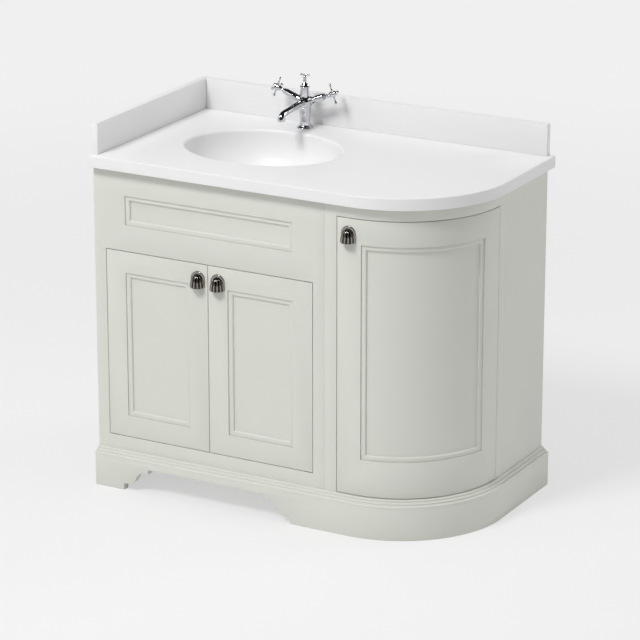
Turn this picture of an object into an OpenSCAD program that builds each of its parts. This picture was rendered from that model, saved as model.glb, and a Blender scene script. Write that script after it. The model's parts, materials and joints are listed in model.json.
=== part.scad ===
// Corner vanity unit: a two-door basin cupboard joined to a cupboard with a curved
// door, under a cast worktop with an oval bowl, upstands, a tap and a pop-up waste.
//
// Working axes: X runs along the front from the wall side, Y runs from the front
// face of the cupboards to the back wall, and Z is up from the floor.
// placed() then moves the model so that its origin is on the floor, at the middle
// of its footprint.

/* [Cupboards] */
// Width of the two cupboards together, without the worktop's overhang
carcass_w = 980; // [950:5:1060]
// Depth of the cupboards from their front face to the back wall
carcass_d = 530; // [510:5:580]
// Width of the cupboard with the curved door
curved_w = 332; // [320:2:344]
// Depth of the curved front, from the front face to the plain side panel
curve_front_d = 298; // [298:2:330]
// Outer radius of the curved corner
corner_r = 260; // [230:2:262]
// Thickness of the cupboard panels
board_t = 18; // [15:1:20]
// Thickness of the face frame
frame_t = 22; // [21:0.5:25]
// Width of the face frame's stiles
stile_w = 32; // [30:1:40]
// Height of the rail below the two straight doors, above the moulding
bottom_rail_h = 36; // [24:1:50]
// Height of the fixed drawer front above the two straight doors
fascia_h = 207; // [190:1:220]
// Height of the rail above the curved door
curved_rail_h = 32; // [28:1:40]
// Thickness of the back panels
back_t = 6; // [4:1:8]
// Height of the rails that are screwed to the wall
rear_rail_h = 90; // [70:5:110]
// Height of the shelves above the cupboard floor
shelf_up = 200; // [150:10:230]
// Distance of the shelves' front edges behind the face
shelf_setback = 60; // [40:5:120]
// Gap left along the edges of a shelf
shelf_play = 1; // [0.5:0.5:2]

/* [Plinth] */
// Height of the plinth boards below their moulding
plinth_h = 82; // [76:1:100]
// Thickness of the plinth boards, which is how far they stand in front
plinth_t = 20; // [18:1:22]
// Height of the reeded moulding on the plinth
mould_h = 18; // [15:1:24]
// Radius of one reed of the moulding
reed_r = 3.3; // [2.5:0.1:3.6]
// Number of reeds
reed_count = 3; // [2:1:4]
// Width of the plinth foot at the wall side
foot_w = 84; // [60:2:110]
// Height of the arch between the feet
arch_h = 65; // [58:1:70]
// Height of a foot's square end
foot_end_h = 18; // [10:1:22]
// Height of the arch's small square step
arch_step_h = 11; // [6:1:14]
// Width of the shaped end of the arch
arch_shape_w = 72; // [60:2:90]
// Width of the flat step at each end of the ogee
arch_step_w = 11; // [6:1:14]

/* [Doors] */
// Thickness of the doors
door_t = 20; // [19:0.5:21]
// Gap around each door
door_gap = 2; // [1.8:0.1:3]
// Width of the stiles and rails of the straight doors
door_stile_w = 54; // [48:1:64]
// Width of the stiles of the curved door
curved_stile_w = 63; // [56:1:74]
// Height of the bottom rail of the curved door
curved_bottom_w = 92; // [70:2:110]
// Height of the top rail of the curved door
curved_top_w = 62; // [56:1:74]
// Width of the moulding around each panel
moulding_w = 13; // [11:0.5:18]
// Depth of the moulding's flat ledge below the face of the door
moulding_drop = 3; // [2:0.25:4]
// Width of the moulding's rounded inner side
moulding_round = 4.5; // [3:0.5:8]
// Depth of the panels below the face of the door
panel_drop = 8; // [7:0.5:9]
// Thickness of a panel's plate, which sits in a groove of the frame
panel_t = 7; // [6:0.5:8]
// Depth of that groove
groove_d = 8; // [6:1:10]
// Height of the moulded panel on the fixed drawer front
fascia_panel_h = 75; // [60:1:100]
// Distance of that panel from the stiles
fascia_in = 57; // [40:1:80]

/* [Pivots] */
// Distance of each door's axis from its face and from its edge
pin_inset = 4; // [3.6:0.2:5]
// Radius of the pivot pins
pin_r = 2; // [1.5:0.1:2.2]
// Clearance of a pin in its hole, on the radius
pin_play = 0.05; // [0.03:0.01:0.09]
// Depth to which a pin stands in its hole
pin_in = 6; // [4:0.5:7]
// Thickness of the pivot leaves
leaf_t = 2.5; // [2:0.5:3]
// Length of the pivot leaves
leaf_l = 22; // [16:1:24]
// Width of the pivot leaves
leaf_w = 12; // [9:0.5:13]

/* [Pulls] */
// Half the width of a pull's bell at its mouth
bell_r = 19; // [16:0.5:20]
// Distance of the bell's axis in front of the door
bell_out = 2.5; // [2:0.5:5.5]
// Height of the bell
bell_h = 34; // [30:1:38]
// Height of the pull's arched backplate
plate_up = 40; // [38:1:44]
// Wall of the bell
bell_wall = 2.2; // [1.6:0.2:2.6]
// Radius of a flute
flute_r = 1.5; // [1:0.1:1.7]
// Number of flutes around the bell
flute_count = 7; // [5:1:9]
// Distance of the mouth of a pull below the top of its door
pull_drop = 58; // [52:1:70]
// Distance of the centre of the curved door's pull from the door's edge
curved_pull_in = 30; // [26:1:32]
// Radius of the pull screws
screw_r = 2; // [1.5:0.25:2.5]

/* [Worktop] */
// Height of the worktop's upper face above the floor
worktop_top = 860; // [840:5:900]
// Thickness of the worktop
worktop_t = 30; // [20:1:40]
// Overhang of the worktop at the front and the open side
overhang = 20; // [10:1:21]
// Height of the upstands
upstand_h = 80; // [50:5:120]
// Thickness of the upstands
upstand_t = 18; // [12:1:20]
// Distance of the ends of the upstands inside the worktop's edge
upstand_in = 15; // [5:1:25]

/* [Bowl] */
// Distance of the bowl's rim behind the cupboards' front face
bowl_front = 89; // [84:1:100]
// Distance of the bowl's rim in front of the tap's middle
bowl_to_tap = 45; // [42:1:60]
// Distance of the bowl's rim from the side of the straight cupboard
bowl_side = 102; // [98:1:120]
// How far the bowl is off the middle of the straight cupboard, to the right
bowl_off = 11; // [0:1:20]
// Inner depth of the bowl
bowl_depth = 130; // [110:1:140]
// Wall of the bowl
bowl_wall = 9; // [7:0.5:12]
// Radius of the rolled rim
rim_r = 8; // [5:0.5:10]
// Height of the bowl's straight edge, which is cast into the worktop
bowl_edge_h = 14; // [10:1:20]
// Radius of the flat around the waste
bowl_flat_r = 42; // [40:1:50]

/* [Waste] */
// Radius of the waste's flange
flange_r = 32; // [30:1:36]
// Outer radius of the waste's tail
tail_r = 19; // [18.5:0.5:20]
// Inner radius of the waste's tail
tail_in_r = 16; // [15:0.5:16.5]
// Length of the waste's tail below the bowl
tail_l = 80; // [74:1:90]
// How far the plug rises
plug_lift = 5; // [3:0.5:6]
// Distance of the rocker's ball from the middle of the waste
rocker_in = 30; // [28:1:34]
// Radius of the rocker's ball
ball_r = 6; // [5:0.5:6.5]
// Radius of the rocker's rod
rocker_r = 2; // [1.5:0.25:2.25]
// Outer radius of the trap's bottle
bottle_r = 33; // [30:1:36]
// Height of the trap's bottle
bottle_h = 92; // [84:2:110]
// Radius of the outlet pipe
outlet_r = 16; // [15:0.5:18]

/* [Tap] */
// Distance of the tap's middle in front of the back wall
tap_in = 64; // [60:1:68]
// Radius of the tap's foot
tap_foot_r = 21; // [20:0.5:23]
// Radius of the pedestal
pedestal_r = 14; // [13:0.5:16]
// Height of the middle of the tap's body above the worktop
tap_mid_h = 66; // [60:1:70]
// Radius of the tap's round body
tap_body_r = 19; // [18:0.5:21]
// Radius of the column
column_r = 12; // [10:0.5:13]
// Height of the column's top above the worktop
column_h = 124; // [118:1:130]
// Reach of the spout from the tap's middle to the middle of its outlet
spout_reach = 120; // [105:1:128]
// Angle at which the spout falls towards its outlet
spout_fall = 5; // [0:0.5:7]
// Radius of the spout
spout_r = 8; // [7:0.5:9]
// Length of the outlet below the spout's bend
spout_lip = 5; // [3:0.5:8]
// Radius of the spout's bulb
bulb_r = 10; // [9.5:0.5:11]
// Radius of the bonnets
bonnet_r = 9; // [8:0.5:10]
// Length of a bonnet's collar
bonnet_collar = 7; // [5:0.5:9]
// Length of a bonnet's hexagon
bonnet_hex = 6; // [5:0.5:8]
// Length of the spindle inside its bonnet
spindle_in = 24; // [20:1:26]
// Angle of the handles above the level
handle_tilt = 21; // [15:1:26]
// Distance of a handle's cross from the tap's middle, along the handle's axis
cross_at = 86; // [82:1:92]
// Length of a handle's arm, to the middle of its ball
arm_l = 24; // [20:1:28]
// Radius of the balls on the arms
arm_ball_r = 3.75; // [3:0.25:4.5]
// Outer radius of the tap's threaded shank
shank_r = 17; // [16.5:0.5:17]
// Length of the shank
shank_l = 62; // [56:1:70]
// Distance of the copper tails' centres from the tap's middle
copper_at = 10.5; // [10:0.25:10.5]
// Radius of the copper tails
copper_r = 5; // [4:0.25:5]
// Height of the copper tails' ends above the outlet pipe
copper_up = 20; // [10:5:50]
// How far the copper tails are bent out to the side
copper_out = 30; // [24:1:40]
// Radius of the bends in the copper tails
copper_bend = 30; // [22:1:34]
// Radius of the pop-up's lift rod
lift_r = 2.5; // [2:0.25:2.5]
// How far the lift rod rises
lift_travel = 30; // [20:1:32]

/* [Hidden] */
$fn = 64;

paint = "#d8d9cf";
cast_white = "#ededee";
chrome = "#c4c8cc";
steel = "#a9adb1";
copper = "#b87349";
plastic = "#f1f1f0";

// A cutter reaches this far past the face that it opens
cut = 1;
// A clipping square is this large, which is more than the whole model
reach = 2000;

// Width of the straight cupboard with two doors
straight_w = carcass_w - curved_w;

// The bowl fills the worktop between the front, the tap and the straight cupboard's sides
tap_y = carcass_d - tap_in;
bowl_a = straight_w / 2 - bowl_off - bowl_side;
bowl_b = (tap_y - bowl_to_tap - bowl_front) / 2;
bowl_x = straight_w / 2 + bowl_off;
bowl_y = bowl_front + bowl_b;

// Heights
deck_z = plinth_h + mould_h;
carcass_top = worktop_top - worktop_t;
opening_low = deck_z + bottom_rail_h;
opening_high = carcass_top - fascia_h;
curved_high = carcass_top - curved_rail_h;
rear_rail_low = carcass_top - rear_rail_h;

// The rounded corner
corner_x = carcass_w - corner_r;
corner_y = corner_r;

// The face frame
right_stile_y = curve_front_d - stile_w;
back_y = carcass_d - board_t;

// Doors: index 0 is the left one, 1 the right one, 2 the curved one
opening_w = straight_w - 2 * stile_w;
door_w = (opening_w - 3 * door_gap) / 2;
door_x = [stile_w + door_gap, stile_w + 2 * door_gap + door_w, straight_w + stile_w + door_gap];
door_low = [opening_low + door_gap, opening_low + door_gap, deck_z + door_gap];
door_high = [opening_high - door_gap, opening_high - door_gap, curved_high - door_gap];
curved_end_y = right_stile_y - door_gap;
pivot_at = [
    [door_x[0] + pin_inset, pin_inset],
    [door_x[1] + door_w - pin_inset, pin_inset],
    [carcass_w - pin_inset, curved_end_y - pin_inset]
];
// Each leaf starts this far from its pin's axis
leaf_edge = pin_inset - 1.5;
// Radius and height of the boss around a pin's hole
boss_r = pin_r + 1;
boss_h = pin_in + 2;

// The curved door's panel lies wholly on the round corner, between these two angles
flat_before_arc = corner_x - door_x[2];
flat_after_arc = curved_end_y - corner_y;
panel_from = (curved_stile_w - flat_before_arc) / corner_r * 180 / PI;
panel_to = 90 - (curved_stile_w - flat_after_arc) / corner_r * 180 / PI;

// Pulls
pull_x = [door_x[0] + door_w - door_stile_w / 2, door_x[1] + door_stile_w / 2,
    door_x[2] + curved_pull_in];
pull_out = bell_r + bell_out;
plate_edge = 1.2;
plate_t = 2;

// The model's origin
front_y = -max(overhang, plinth_t, pull_out);
origin_x = (carcass_w + max(overhang, plinth_t)) / 2;
origin_y = (carcass_d + front_y) / 2;

// Waste and pop-up
bowl_low = worktop_top - bowl_depth;
bowl_under = bowl_low - bowl_wall;
flange_t = 3;
seat_play = 0.4;
rocker_z = bowl_under - 26;
rocker_y = bowl_y + rocker_in;
rocker_out = tap_y - rocker_y;
rocker_swing = asin(lift_travel / rocker_out);
rocker_rest = -rocker_swing / 2;
strap_z = rocker_z + rocker_out * tan(rocker_rest);
ball_play = 0.1;
stem_z = rocker_z - rocker_in * tan(rocker_rest) + rocker_r / cos(rocker_rest) + 0.5;
tail_low = bowl_under - tail_l;

// Trap
socket_h = 15;
trap_top = tail_low + socket_h;
bottle_top = tail_low - 25;
bottle_low = bottle_top - bottle_h;
outlet_z = bottle_top - outlet_r - 6;
shell_t = 3;
outlet_from = bowl_y + bottle_r + 7;
copper_low = outlet_z + outlet_r + copper_up;

// Tap
tap_z = worktop_top;
bonnet_from = tap_body_r - 4;
bonnet_to = cross_at - 22;
bonnet_step = 1.5;
column_flare = 1.5;
spindle_r = 3.5;
spindle_end = 2;
rod_play = 0.08;
cabinet_play = 0.5;

module placed() {
    translate([-origin_x, -origin_y, 0])
        children();
}

// Plan of the carcass, grown outwards on its two open sides
module plan(grow = 0, slack = 0) {
    translate([-slack, -grow])
        square([corner_x + slack, carcass_d + grow + slack]);
    translate([corner_x, corner_y])
        square([corner_r + grow, carcass_d - corner_y + slack]);
    intersection() {
        translate([corner_x, corner_y])
            circle(r = corner_r + grow, $fn = 128);
        translate([corner_x, corner_y - reach])
            square([reach, reach]);
    }
}

// Strip of the plan between two offsets, from x_from on the front to y_to on the side
module plan_band(outer, inner, x_from, y_to) {
    intersection() {
        difference() {
            plan(outer);
            plan(inner, slack = cut);
        }
        translate([x_from, y_to - reach])
            square([reach, reach]);
    }
}

// Sector of the plan around the corner's centre, from the front (0) to the side (90)
module corner_wedge(from, to) {
    translate([corner_x, corner_y])
        polygon([[0, 0], [reach * sin(from), -reach * cos(from)],
            [2 * reach * sin((from + to) / 2), -2 * reach * cos((from + to) / 2)],
            [reach * sin(to), -reach * cos(to)]]);
}

// Strip of the plan between two offsets and two angles of the corner
module corner_band(outer, inner, from, to) {
    intersection() {
        translate([corner_x, corner_y])
            difference() {
                circle(r = corner_r + outer, $fn = 128);
                circle(r = corner_r + inner, $fn = 128);
            }
        corner_wedge(from, to);
    }
}

// Sweep a section along the open sides: its x is the distance out from the face
module along_open_sides(x_from, y_to) {
    translate([x_from, 0, 0])
        rotate([90, 0, 90])
            linear_extrude(corner_x - x_from)
                mirror([1, 0])
                    children();
    translate([corner_x, corner_y, 0])
        rotate([0, 0, -90])
            rotate_extrude(angle = 90, $fn = 128)
                translate([corner_r, 0])
                    children();
    translate([carcass_w, y_to, 0])
        rotate([90, 0, 0])
            linear_extrude(y_to - corner_y)
                children();
}

module block(from, to) {
    translate(from)
        cube(to - from);
}

// Straight cupboard

module vanity_side_left() {
    color(paint) placed()
        difference() {
            block([0, frame_t, 0], [board_t, carcass_d, carcass_top]);
            straight_shelf_pins();
        }
}

module vanity_side_right() {
    color(paint) placed()
        difference() {
            block([straight_w - board_t, frame_t, 0], [straight_w, carcass_d, carcass_top]);
            straight_shelf_pins();
        }
}

module vanity_base() {
    color(paint) placed()
        block([board_t, frame_t, deck_z - board_t], [straight_w - board_t, carcass_d, deck_z]);
}

// Opening in the back panel for the pipes
module service_opening() {
    margin = 110;
    block([bowl_x - margin, back_y - cut, bottle_low - 60],
        [bowl_x + margin, back_y + back_t + cut, rear_rail_low - 60]);
}

module vanity_back() {
    color(paint) placed()
        difference() {
            block([board_t, back_y, deck_z], [straight_w - board_t, back_y + back_t, rear_rail_low]);
            service_opening();
        }
}

module vanity_shelf() {
    color(paint) placed()
        block([board_t + shelf_play, shelf_setback, deck_z + shelf_up],
            [straight_w - board_t - shelf_play, back_y - shelf_play, deck_z + shelf_up + board_t]);
}

// Rail behind the worktop, drilled for two wall screws
module wall_rail(x_from, x_to) {
    difference() {
        block([x_from, back_y, rear_rail_low], [x_to, carcass_d, carcass_top]);
        for (side = [0, 1])
            translate([rail_hole_x(x_from, x_to, side), back_y - cut, rear_rail_low + rear_rail_h / 2])
                rotate([-90, 0, 0])
                    cylinder(r = wall_screw_r, h = board_t + 2 * cut);
    }
}
wall_screw_r = 2.5;
rail_hole_in = 60;
function rail_hole_x(x_from, x_to, side) = side == 0 ? x_from + rail_hole_in : x_to - rail_hole_in;

module vanity_rear_rail() {
    color(paint) placed()
        wall_rail(board_t, straight_w - board_t);
}

module stile_left() {
    color(paint) placed()
        block([0, 0, 0], [stile_w, frame_t, carcass_top]);
}

module stile_right() {
    color(paint) placed()
        block([straight_w - stile_w, 0, 0], [straight_w, frame_t, carcass_top]);
}

module bottom_rail() {
    color(paint) placed()
        difference() {
            block([stile_w, 0, deck_z - board_t], [straight_w - stile_w, frame_t, opening_low]);
            for (door = [0, 1])
                socket_seat(door, opening_low, -1);
        }
}

// Size and place of the fixed drawer front's moulded panel
fascia_x = stile_w + fascia_in;
fascia_panel_w = straight_w - 2 * fascia_x;
fascia_z = opening_high + (fascia_h - fascia_panel_h) / 2;

module drawer_fascia() {
    color(paint) placed()
        difference() {
            block([stile_w, 0, opening_high], [straight_w - stile_w, frame_t, carcass_top]);
            translate([fascia_x, 0, fascia_z])
                block([0, -cut, 0], [fascia_panel_w, panel_drop, fascia_panel_h]);
            for (door = [0, 1])
                socket_seat(door, opening_high, 1);
        }
}

module drawer_fascia_bead() {
    color(paint) placed()
        translate([fascia_x, 0, fascia_z])
            flat_bead(fascia_panel_w, fascia_panel_h);
}

// Upper side of the bead's section: x from the opening's edge inwards, y out of the panel
function bead_top(lower = 0, steps = 6) = let (h = panel_drop - moulding_drop - lower)
    concat([for (i = [0 : 3]) [bead_play + (moulding_w - moulding_round - bead_play) * i / 3, h]],
        [for (i = [1 : steps]) [moulding_w - moulding_round * (1 - sin(90 * i / steps)),
            h * cos(90 * i / steps)]]);

// Section of the bead, down to the panel: a flat ledge, and a rounded inner side
module bead_section(lower = 0) {
    polygon(concat([[bead_play, 0]], bead_top(lower)));
}

// Clearance of a bead in its opening
bead_play = 0.2;

// One straight length of bead with mitred ends, along x, its opening's edge on z = 0
module mitred_bead(length) {
    intersection() {
        translate([0, panel_drop, 0])
            rotate([90, 0, 90])
                linear_extrude(length)
                    rotate([0, 0, 90])
                        bead_section();
        translate([0, panel_drop, 0])
            rotate([90, 0, 0])
                linear_extrude(panel_drop)
                    polygon([[0, 0], [length, 0], [length - moulding_w - 1, moulding_w + 1],
                        [moulding_w + 1, moulding_w + 1]]);
    }
}

// Bead around a flat panel opening of the given size
module flat_bead(width, height) {
    mitred_bead(width);
    translate([0, 0, height])
        mirror([0, 0, 1])
            mitred_bead(width);
    rotate([0, -90, 0])
        mirror([0, 0, 1])
            mitred_bead(height);
    translate([width, 0, 0])
        rotate([0, -90, 0])
            mitred_bead(height);
}

// Curved cupboard

module curved_side_left() {
    color(paint) placed()
        difference() {
            block([straight_w, frame_t, 0], [straight_w + board_t, carcass_d, carcass_top]);
            curved_shelf_pins();
        }
}

module curved_side_right() {
    color(paint) placed()
        difference() {
            block([carcass_w - board_t, curve_front_d, 0], [carcass_w, carcass_d, carcass_top]);
            curved_shelf_pins();
        }
}

// Inside of the curved cupboard in plan, behind an offset of its open sides
module curved_inside(back_off, front_off, side_gap) {
    intersection() {
        plan(-front_off);
        translate([straight_w + board_t + side_gap, -reach])
            square([carcass_w - straight_w - 2 * board_t - 2 * side_gap, reach + carcass_d - back_off]);
    }
}

module curved_base() {
    color(paint) placed()
        difference() {
            translate([0, 0, deck_z - board_t])
                linear_extrude(board_t)
                    difference() {
                        intersection() {
                            plan();
                            translate([straight_w + board_t, -reach])
                                square([reach, reach + carcass_d]);
                        }
                        translate([straight_w, -cut])
                            square([stile_w, frame_t + cut]);
                        translate([carcass_w - frame_t, right_stile_y])
                            square([frame_t + cut, stile_w]);
                        translate([carcass_w - board_t, curve_front_d])
                            square([board_t + cut, carcass_d]);
                    }
            socket_seat(2, deck_z, -1);
        }
}

module curved_back() {
    color(paint) placed()
        block([straight_w + board_t, back_y, deck_z], [carcass_w - board_t, back_y + back_t, rear_rail_low]);
}

module curved_shelf() {
    color(paint) placed()
        translate([0, 0, deck_z + shelf_up])
            linear_extrude(board_t)
                curved_inside(board_t + shelf_play, shelf_setback, shelf_play);
}

module curved_rear_rail() {
    color(paint) placed()
        wall_rail(straight_w + board_t, carcass_w - board_t);
}

module curved_stile_left() {
    color(paint) placed()
        block([straight_w, 0, 0], [straight_w + stile_w, frame_t, carcass_top]);
}

module curved_stile_right() {
    color(paint) placed()
        block([carcass_w - frame_t, right_stile_y, 0], [carcass_w, curve_front_d, carcass_top]);
}

module curved_top_rail() {
    color(paint) placed()
        difference() {
            translate([0, 0, curved_high])
                linear_extrude(curved_rail_h)
                    plan_band(0, -frame_t, straight_w + stile_w, right_stile_y);
            socket_seat(2, curved_high, 1);
        }
}

// Plinth

// Right half of the arch: x from the foot's inner edge towards the middle
function ogee(width, height, steps = 8) =
    let (lean = 2 * atan(height / width), r = width / 2 / sin(lean))
    concat(
        [for (i = [0 : steps]) let (a = lean * i / steps) [r * sin(a), r * (1 - cos(a))]],
        [for (i = [steps - 1 : -1 : 0]) let (a = lean * i / steps)
            [width - r * sin(a), height - r * (1 - cos(a))]]
    );

module foot_shape() {
    ogee_w = arch_shape_w - 2 * arch_step_w;
    ogee_h = arch_h - arch_step_h - foot_end_h;
    curve = [for (p = ogee(ogee_w, ogee_h)) [arch_step_w + p[0], foot_end_h + p[1]]];
    polygon(concat([[0, -cut], [0, foot_end_h]], curve,
        [[arch_shape_w, arch_h - arch_step_h], [arch_shape_w, arch_h], [reach, arch_h], [reach, -cut]]));
}

// The arch is as far from the curved cupboard's seam as its feet need
arch_off = 2;
arch_to = straight_w - foot_w - arch_off;

module arch() {
    intersection() {
        translate([foot_w, 0])
            foot_shape();
        translate([arch_to, 0])
            mirror([1, 0])
                foot_shape();
    }
}

module plinth_front() {
    color(paint) placed()
        difference() {
            block([0, -plinth_t, 0], [corner_x, 0, plinth_h]);
            translate([0, cut, 0])
                rotate([90, 0, 0])
                    linear_extrude(plinth_t + 2 * cut)
                        arch();
        }
}

module plinth_curve() {
    color(paint) placed()
        linear_extrude(plinth_h)
            corner_band(plinth_t, 0, 0, 90);
}

module plinth_side() {
    color(paint) placed()
        block([carcass_w, corner_y, 0], [carcass_w + plinth_t, carcass_d, plinth_h]);
}

// Section of the reeded moulding: the reeds step down and out from the carcass
module moulding_section() {
    run = (plinth_t - 2 * reed_r) / (reed_count - 1);
    fall = (mould_h - 2 * reed_r) / (reed_count - 1);
    for (i = [0 : reed_count - 1]) {
        x = reed_r + i * run;
        y = mould_h - reed_r - i * fall;
        square([x, y + reed_r * 0.4]);
        intersection() {
            translate([x, y])
                circle(r = reed_r, $fn = 32);
            square([plinth_t, mould_h]);
        }
    }
    square([plinth_t, reed_r]);
}

module plinth_moulding() {
    color(paint) placed()
        translate([0, 0, plinth_h])
            along_open_sides(0, carcass_d)
                moulding_section();
}

// Doors

// Frame of a flat door, with a groove for its panel
module flat_door_frame(door) {
    height = door_high[door] - door_low[door];
    s = door_stile_w;
    g = groove_d;
    difference() {
        translate([door_x[door], 0, door_low[door]])
            difference() {
                block([0, 0, 0], [door_w, door_t, height]);
                block([s, -cut, s], [door_w - s, door_t + cut, height - s]);
                block([s - g, panel_drop, s - g], [door_w - s + g, panel_drop + panel_t, height - s + g]);
            }
        leaf_seats(door);
        pull_hole(door);
    }
}

// Panel of a flat door: a plate in the frame's groove
module flat_door_panel(door) {
    height = door_high[door] - door_low[door];
    s = door_stile_w;
    g = groove_d - cabinet_play;
    translate([door_x[door], 0, door_low[door]])
        block([s - g, panel_drop, s - g], [door_w - s + g, panel_drop + panel_t, height - s + g]);
}

module flat_door_bead(door) {
    height = door_high[door] - door_low[door];
    translate([door_x[door] + door_stile_w, 0, door_low[door] + door_stile_w])
        flat_bead(door_w - 2 * door_stile_w, height - 2 * door_stile_w);
}

module left_door_frame() {
    color(paint) placed() flat_door_frame(0);
}

module right_door_frame() {
    color(paint) placed() flat_door_frame(1);
}

module left_door_panel() {
    color(paint) placed() flat_door_panel(0);
}

module right_door_panel() {
    color(paint) placed() flat_door_panel(1);
}

module left_door_bead() {
    color(paint) placed() flat_door_bead(0);
}

module right_door_bead() {
    color(paint) placed() flat_door_bead(1);
}

// Heights of the curved door's panel opening
curved_panel_low = door_low[2] + curved_bottom_w;
curved_panel_high = door_high[2] - curved_top_w;

// Length along the curved face as an angle of the corner
function arc_angle(length) = length / corner_r * 180 / PI;

module curved_door_frame() {
    color(paint) placed()
        difference() {
            translate([0, 0, door_low[2]])
                linear_extrude(door_high[2] - door_low[2])
                    plan_band(0, -door_t, door_x[2], curved_end_y);
            translate([0, 0, curved_panel_low])
                linear_extrude(curved_panel_high - curved_panel_low)
                    corner_band(cut, -door_t - cut, panel_from, panel_to);
            translate([0, 0, curved_panel_low - groove_d])
                linear_extrude(curved_panel_high - curved_panel_low + 2 * groove_d)
                    corner_band(-panel_drop, -panel_drop - panel_t,
                        panel_from - arc_angle(groove_d), panel_to + arc_angle(groove_d));
            leaf_seats(2);
            pull_hole(2);
        }
}

module curved_door_panel() {
    g = groove_d - cabinet_play;
    color(paint) placed()
        translate([0, 0, curved_panel_low - g])
            linear_extrude(curved_panel_high - curved_panel_low + 2 * g)
                corner_band(-panel_drop, -panel_drop - panel_t,
                    panel_from - arc_angle(g), panel_to + arc_angle(g));
}

// Turn children so that x runs along the curved face at this angle, y into it
module at_corner(angle) {
    translate([corner_x, corner_y, 0])
        rotate([0, 0, angle])
            translate([0, -corner_r, 0])
                children();
}

// Horizontal length of the curved bead, with its opening's edge at z = 0 and the panel above
module curved_bead_rail(from, to) {
    translate([corner_x, corner_y, 0])
        rotate([0, 0, from - 90])
            rotate_extrude(angle = to - from, $fn = 128)
                translate([corner_r - panel_drop, 0])
                    mirror([1, -1])
                        bead_section(bead_joint);
}

// Point on the corner: at this angle, and this far out of the panel
function on_corner(angle, out) = [corner_x + (corner_r - panel_drop + out) * sin(angle),
    corner_y - (corner_r - panel_drop + out) * cos(angle)];

// Upright length of the curved bead, from the opening's edge at this angle towards the panel
module curved_bead_post(edge, way, low, high) {
    sunk = 0.5;
    section = concat([[bead_play, -sunk]], bead_top(), [[moulding_w, -sunk]]);
    translate([0, 0, low])
        linear_extrude(high - low)
            intersection() {
                polygon([for (p = section) on_corner(edge + way * arc_angle(p[0]), p[1])]);
                corner_band(0, -panel_drop, panel_from, panel_to);
            }
}

// The bead's rails end in its posts, whose ledge is higher by this much
bead_joint = 0.4;

module curved_door_bead() {
    low = curved_panel_low + bead_play;
    high = curved_panel_high - bead_play;
    inside = arc_angle((moulding_w - moulding_round) / 2);
    color(paint) placed() {
        translate([0, 0, curved_panel_low])
            curved_bead_rail(panel_from + inside, panel_to - inside);
        translate([0, 0, curved_panel_high])
            mirror([0, 0, 1])
                curved_bead_rail(panel_from + inside, panel_to - inside);
        curved_bead_post(panel_from, 1, low, high);
        curved_bead_post(panel_to, -1, low, high);
    }
}

// Pivots

// Move children to a door's axis: x then runs from the axis along the door, y into it
module at_pivot(door) {
    translate([pivot_at[door][0], pivot_at[door][1], 0]) {
        if (door == 0)
            children();
        if (door == 1)
            mirror([1, 0, 0])
                children();
        if (door == 2)
            mirror([1, 1, 0])
                children();
    }
}

module leaf(z, up) {
    translate([-leaf_edge, -leaf_edge, up > 0 ? z : z - leaf_t])
        cube([leaf_l, leaf_w, leaf_t]);
}

// The leaves that are let into the top and the bottom edge of a door
module leaf_seats(door) {
    at_pivot(door) {
        leaf(door_high[door], -1);
        leaf(door_low[door], 1);
    }
}

// Leaves of one door with their pins
module door_pivots(door) {
    pin_l = leaf_t + door_gap + pin_in;
    at_pivot(door) {
        leaf(door_high[door], -1);
        leaf(door_low[door], 1);
        translate([0, 0, door_high[door] - leaf_t])
            cylinder(r = pin_r, h = pin_l);
        translate([0, 0, door_low[door] + leaf_t - pin_l])
            cylinder(r = pin_r, h = pin_l);
    }
}

module left_door_pivots() {
    color(steel) placed() door_pivots(0);
}

module right_door_pivots() {
    color(steel) placed() door_pivots(1);
}

module curved_door_pivots() {
    color(steel) placed() door_pivots(2);
}

// Solid outside of a socket: its leaf and its boss, going up or down from z
module socket_seat(door, z, up) {
    at_pivot(door) {
        leaf(z, up);
        translate([0, 0, up > 0 ? z : z - boss_h])
            cylinder(r = boss_r, h = boss_h);
    }
}

module socket(door, z, up) {
    difference() {
        socket_seat(door, z, up);
        at_pivot(door)
            translate([0, 0, up > 0 ? z - cut : z - pin_in - 0.5])
                cylinder(r = pin_r + pin_play, h = pin_in + 0.5 + cut);
    }
}

module pivot_sockets() {
    color(steel) placed() {
        for (door = [0, 1]) {
            socket(door, opening_high, 1);
            socket(door, opening_low, -1);
        }
        socket(2, curved_high, 1);
        socket(2, deck_z, -1);
    }
}

// Pulls

// Half of the bell's outline: radius at each height, from the mouth to the crown
function bell_outline(r, h, steps = 10) =
    [for (i = [0 : steps]) let (z = h * sin(90 * i / steps)) [r * pow(max(0, 1 - pow(z / h, 2.4)), 0.5), z]];

module bell_solid(r, h) {
    outline = bell_outline(r, h);
    translate([0, -bell_out, 0])
        rotate([0, 0, 180])
            rotate_extrude(angle = 180, $fn = 96)
                polygon(concat([[0, 0]], outline));
    translate([0, -bell_out, 0])
        rotate([90, 0, 180])
            linear_extrude(bell_out)
                polygon(concat(outline,
                    [for (i = [len(outline) - 1 : -1 : 0]) [-outline[i][0], outline[i][1]]]));
}

// Move children to a pull's place on its door, also where the door is round already
module at_pull(door) {
    translate([0, 0, door_high[door] - pull_drop])
        if (pull_x[door] > corner_x)
            at_corner(arc_angle(pull_x[door] - corner_x))
                children();
        else
            translate([pull_x[door], 0, 0])
                children();
}

module pull_hole(door) {
    at_pull(door)
        translate([0, -cut, bell_h * 0.62])
            rotate([-90, 0, 0])
                cylinder(r = screw_r, h = door_t + 2 * cut);
}

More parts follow.
